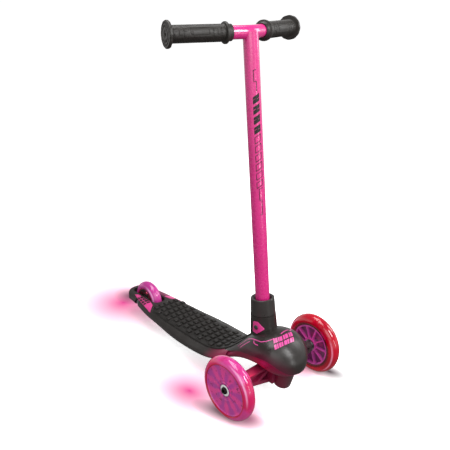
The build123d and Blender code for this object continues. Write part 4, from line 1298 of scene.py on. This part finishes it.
@dataclass
class Grip:
    """Ribbed rubber grip with a safety flange, an inner stop and a front panel."""

    side: Side
    inner: float = 35.0 * MM
    end: float = 145.9 * MM
    radius: float = 14.0 * MM
    flange_r: float = 21.5 * MM
    flange_w: float = 5.5 * MM
    stop_r: float = 17.5 * MM
    stop_w: float = 5.0 * MM
    collar_w: float = 8.0 * MM
    collar_r: float = 13.5 * MM
    bore_r: float = 11.05 * MM
    rib_pitch: float = 2.6 * MM
    panel_tilt: float = math.radians(15)
    end_grooves: tuple[float, ...] = (17.6 * MM, 12.6 * MM)
    facet_count: int = 12

    @property
    def spindle(self) -> Spindle:
        """The bar's axis from the stem outwards, angle 0 facing forwards and a little up."""
        mount = next(m for m in frame["record"]["mounts"] if m["name"] == "bar_accessory_zone")
        out = Vector(mount["axis"]).normalized()
        if self.side is Side.LEFT:
            out.y = -out.y
        offset = Vector(mount["pos_m"])
        top = Vector((offset.x - out.x * abs(offset.y / out.y), 0, offset.z))
        ahead = Vector((0, 0, 1)).cross(out)
        ahead = ahead if ahead.x > 0 else -ahead
        start = ahead * math.cos(self.panel_tilt) + Vector((0, 0, 1)) * math.sin(self.panel_tilt)
        return Spindle(top, out, start.normalized())

    def facets(self, radius: float, _out: float, angle: float) -> float:
        """Twelve soft facets on the flange's rim, the same all along it."""
        if radius < self.flange_r - 2.4 * MM:
            return radius
        return radius * (1 - 0.022 * (0.5 + 0.5 * math.cos(self.facet_count * angle)) ** 2)

    def sleeve(self) -> bpy.types.Object:
        """The whole grip turned in one: collar, stop, ribbed body and flange."""
        i, e = self.inner, self.end
        body_start = i + self.collar_w + self.stop_w
        body_end = e - self.flange_w
        r = self.radius
        stop_edge, foot_edge, rim_edge = 1.4 * MM, 1.5 * MM, 1.7 * MM
        deep, shoulder = 0.95 * MM, 0.12 * MM
        profile = [(self.bore_r, i), (self.collar_r - 0.6 * MM, i), (self.collar_r, i + 0.6 * MM),
                   (self.collar_r, i + self.collar_w - 0.5 * MM),
                   (self.stop_r - stop_edge, i + self.collar_w)]
        profile += arc((self.stop_r - stop_edge, i + self.collar_w + stop_edge), stop_edge, -90, 0, 5)
        profile += arc((self.stop_r - stop_edge, body_start - stop_edge), stop_edge, 0, 90, 5)
        count = round((body_end - body_start - 3 * MM) / self.rib_pitch)
        step = (body_end - body_start - 3 * MM) / count
        profile.append((r - 0.5 * MM, body_start + 0.4 * MM))
        for k in range(count):
            z = body_start + 1.5 * MM + step * k
            profile += [(r - deep, z), (r - shoulder, z + step * 0.16), (r, z + step * 0.34),
                        (r - shoulder, z + step * 0.52), (r - deep, z + step * 0.68)]
        profile += [(r - 0.5 * MM, body_end - 0.6 * MM), (r + 1.2 * MM, body_end - 0.2 * MM),
                    (self.flange_r - 2 * MM, body_end)]
        profile += arc((self.flange_r - foot_edge, body_end + foot_edge), foot_edge, -90, 0, 5)
        profile += arc((self.flange_r - rim_edge, e - rim_edge), rim_edge, 0, 90, 6)
        for groove in self.end_grooves:
            profile += [(groove, e), (groove - 0.3 * MM, e - 0.5 * MM),
                        (groove - 1.3 * MM, e - 0.5 * MM), (groove - 1.6 * MM, e)]
        profile += [(5.6 * MM, e), (5.2 * MM, e - 0.4 * MM), (3.0 * MM, e - 0.4 * MM),
                    (2.6 * MM, e - 0.1 * MM),
                    (2.2 * MM, e - 0.5 * MM), (2.0 * MM, e - 3.4 * MM), (self.bore_r, e - 3.6 * MM)]
        return lathe(f"grip_sleeve_{self.side.word}", self.spindle, profile, 96, self.facets)

    def panel(self) -> bpy.types.Object:
        """Smooth front panel with raised cells and a long plate in the middle."""
        line = self.spindle
        first = self.inner + self.collar_w + self.stop_w + 2.5 * MM
        last = self.end - self.flange_w - 2.5 * MM
        r = self.radius

        def spot(across: float, out: float, lift: float) -> Vector:
            """Point over the panel from its arc distance across and distance along."""
            return line.at(r + lift, out, across / r)

        length = last - first
        half = 9.4 * MM
        base = patch("panel_base", spot, [[(-half, first), (half, first), (half, last), (-half, last)]],
                     1.5 * MM, 0.25 * MM)
        cells = []

        def cell(share: float, half_out: float, low: float, high: float, slant: float = 0.0) -> None:
            """Adds a raised cell at a share of the length from the outer end."""
            mid = last - length * share
            cells.append([(low, mid - half_out - slant), (high, mid - half_out + slant),
                          (high, mid + half_out + slant), (low, mid + half_out - slant)])

        wide, gap = 7.6 * MM, 0.7 * MM
        for share in (0.055, 0.235, 0.80, 0.955):
            cell(share, 2.7 * MM, -wide, -gap, 0.5 * MM)
            cell(share, 2.7 * MM, gap, wide, -0.5 * MM)
        for share in (0.145, 0.878):
            cell(share, 2.6 * MM, -wide * 0.62, wide * 0.62)
        plate_out, plate_in = last - length * 0.33, last - length * 0.72
        nose, broad, tip = 3.2 * MM, 4.6 * MM, 1.2 * MM
        waists = ((plate_in, tip), (plate_in + nose, broad), (plate_out - nose, broad), (plate_out, tip))
        for k in (1, 2, 0):
            (start, a), (end, b) = waists[k], waists[k + 1]
            cells.append([(-a, start), (a, start), (b, end), (-b, end)])
        for low, high in ((-7.8 * MM, -6.2 * MM), (6.2 * MM, 7.8 * MM)):
            cells.append([(low, plate_in), (high, plate_in), (high, plate_out), (low, plate_out)])
        raised = patch("panel_cells", spot, cells, 1.4 * MM, 0.8 * MM)
        edged = [soften(base, 0.2 * MM, 2, 50), soften(raised, 0.25 * MM, 2, 50)]
        return join(f"grip_panel_{self.side.word}", edged)

    def build(self, shop: Workshop) -> None:
        """Makes and dresses the grip."""
        shop.fit(self.sleeve(), "deck", "grip_rubber", [f"grip_{self.side.word}"])
        shop.fit(self.panel(), "deck", "grip_rubber")


def join(name: str, pieces: Sequence[bpy.types.Object]) -> bpy.types.Object:
    """Joins plain pieces into one and removes the rest."""
    shape = bmesh.new()
    for piece in pieces:
        shape.from_mesh(piece.data)
        bpy.data.objects.remove(piece)
    mesh = bpy.data.meshes.new(name)
    shape.to_mesh(mesh)
    shape.free()
    mesh.shade_smooth()
    return put(name, mesh)


# ------------------------------------------------------------------ studio
@dataclass
class Studio:
    """Pale floor, white horizon, soft lights and the camera."""

    camera_at: Point = (0.8796, -0.7338, 0.7151)
    camera_turn: Point = (69.26, 0.0, 48.19)
    lens: float = 50.0
    floor_half: float = 80.0

    def floor(self, shop: Workshop) -> None:
        """Large pale floor under the wheels."""
        size = self.floor_half
        points = [Vector((x * size, y * size, 0)) for x, y in ((-1, -1), (1, -1), (1, 1), (-1, 1))]
        floor = new_piece("studio_floor", points, [(0, 1, 2, 3)])
        floor.data.materials.append(shop.material["stage_white"])
        floor.visible_diffuse = False
        floor.visible_glossy = False

    def panel(self, name: str, at: Point, towards: Point, size: Flat, power: float) -> None:
        """Soft rectangular light.

        Args:
            name: The light's name.
            at: Where it hangs.
            towards: What it points at.
            size: Width and height in metres.
            power: Watts.
        """
        data = bpy.data.lights.new(name, "AREA")
        data.shape = "RECTANGLE"
        data.size, data.size_y = size
        data.energy = power
        light = put(name, data)
        light.location = at
        light.rotation_mode = "QUATERNION"
        light.rotation_quaternion = (Vector(towards) - Vector(at)).to_track_quat("-Z", "Y")

    def glow(self, name: str, at: Point, power: float, size: float, colour: Colour) -> None:
        """Small coloured light of a wheel's lamps."""
        data = bpy.data.lights.new(name, "POINT")
        data.energy = power
        data.color = colour
        data.shadow_soft_size = size
        put(name, data).location = at

    def world(self, low: float, high: float) -> None:
        """White horizon that darkens upwards and downwards.

        Args:
            low: Brightness below the horizon.
            high: Brightness overhead.
        """
        world = bpy.data.worlds.new("white")
        world.use_nodes = True
        nodes, links = world.node_tree.nodes, world.node_tree.links
        part = nodes.new("ShaderNodeSeparateXYZ")
        links.new(nodes.new("ShaderNodeTexCoord").outputs["Generated"], part.inputs[0])
        ramp = nodes.new("ShaderNodeValToRGB")
        links.new(part.outputs["Z"], ramp.inputs["Fac"])
        for stop, position, grey in zip(ramp.color_ramp.elements, (0.12, 0.45), (1.0, high)):
            stop.position = position
            stop.color = (grey, grey, grey, 1)
        below = nodes.new("ShaderNodeMapRange")
        links.new(part.outputs["Z"], below.inputs["Value"])
        for key, number in (("From Min", -0.25), ("From Max", -0.05), ("To Min", low), ("To Max", 1.0)):
            below.inputs[key].default_value = number
        background = nodes["Background"]
        links.new(ramp.outputs["Color"], background.inputs["Color"])
        links.new(below.outputs["Result"], background.inputs["Strength"])
        bpy.context.scene.world = world

    def camera(self) -> None:
        """Camera at the wanted viewing angle."""
        data = bpy.data.cameras.new("camera")
        data.lens = self.lens
        data.sensor_width = 36.0
        camera = put("camera", data)
        camera.location = self.camera_at
        camera.rotation_euler = [math.radians(a) for a in self.camera_turn]
        bpy.context.scene.camera = camera

    def build(self, shop: Workshop) -> None:
        """Sets up the studio."""
        self.camera()
        self.world(0.22, 0.3)
        self.floor(shop)
        for light in (("key", (1.5, 0.25, 1.3), (0.05, 0, 0.3), (0.34, 0.8), 20),
                      ("streak", (1.45, 0.14, 0.34), (0, 0, 0.34), (0.08, 0.5), 2.2),
                      ("front", (1.1, -1.1, 1.1), (0.1, 0, 0.2), (1.2, 1.0), 10),
                      ("top", (-0.15, -0.1, 1.7), (0, 0, 0.1), (1.5, 0.9), 24),
                      ("right", (0.7, 1.3, 1.0), (0.1, 0, 0.2), (0.5, 0.8), 9)):
            self.panel(*light)
        pink = (1.0, 0.04, 0.3)
        right, left = centre_of("front_tyre_right"), centre_of("front_tyre_left")
        self.glow("glow_right", (right.x + 0.01, right.y + 0.045, 0.075), 0.02, 0.012, pink)
        self.glow("glow_left", (left.x + 0.01, left.y - 0.045, 0.075), 0.012, 0.012, pink)
        settings = bpy.context.scene.view_settings
        settings.view_transform = "Standard"


def main() -> None:
    """Builds every sub-assembly in order."""
    logging.basicConfig(level=logging.INFO, format="%(name)s: %(message)s")
    shop = Workshop()
    axle_x = centre_of("front_tyre_right").x
    Studio().build(shop)
    Deck().build(shop, axle_x)
    TreadMat().build(shop, axle_x)
    Truck().build(shop)
    for side in Side:
        FrontWheel(side).build(shop)
        Grip(side).build(shop)
    RearWheel().build(shop)
    Column().build(shop)
    bpy.context.view_layer.update()


if __name__ == "__main__":
    main()
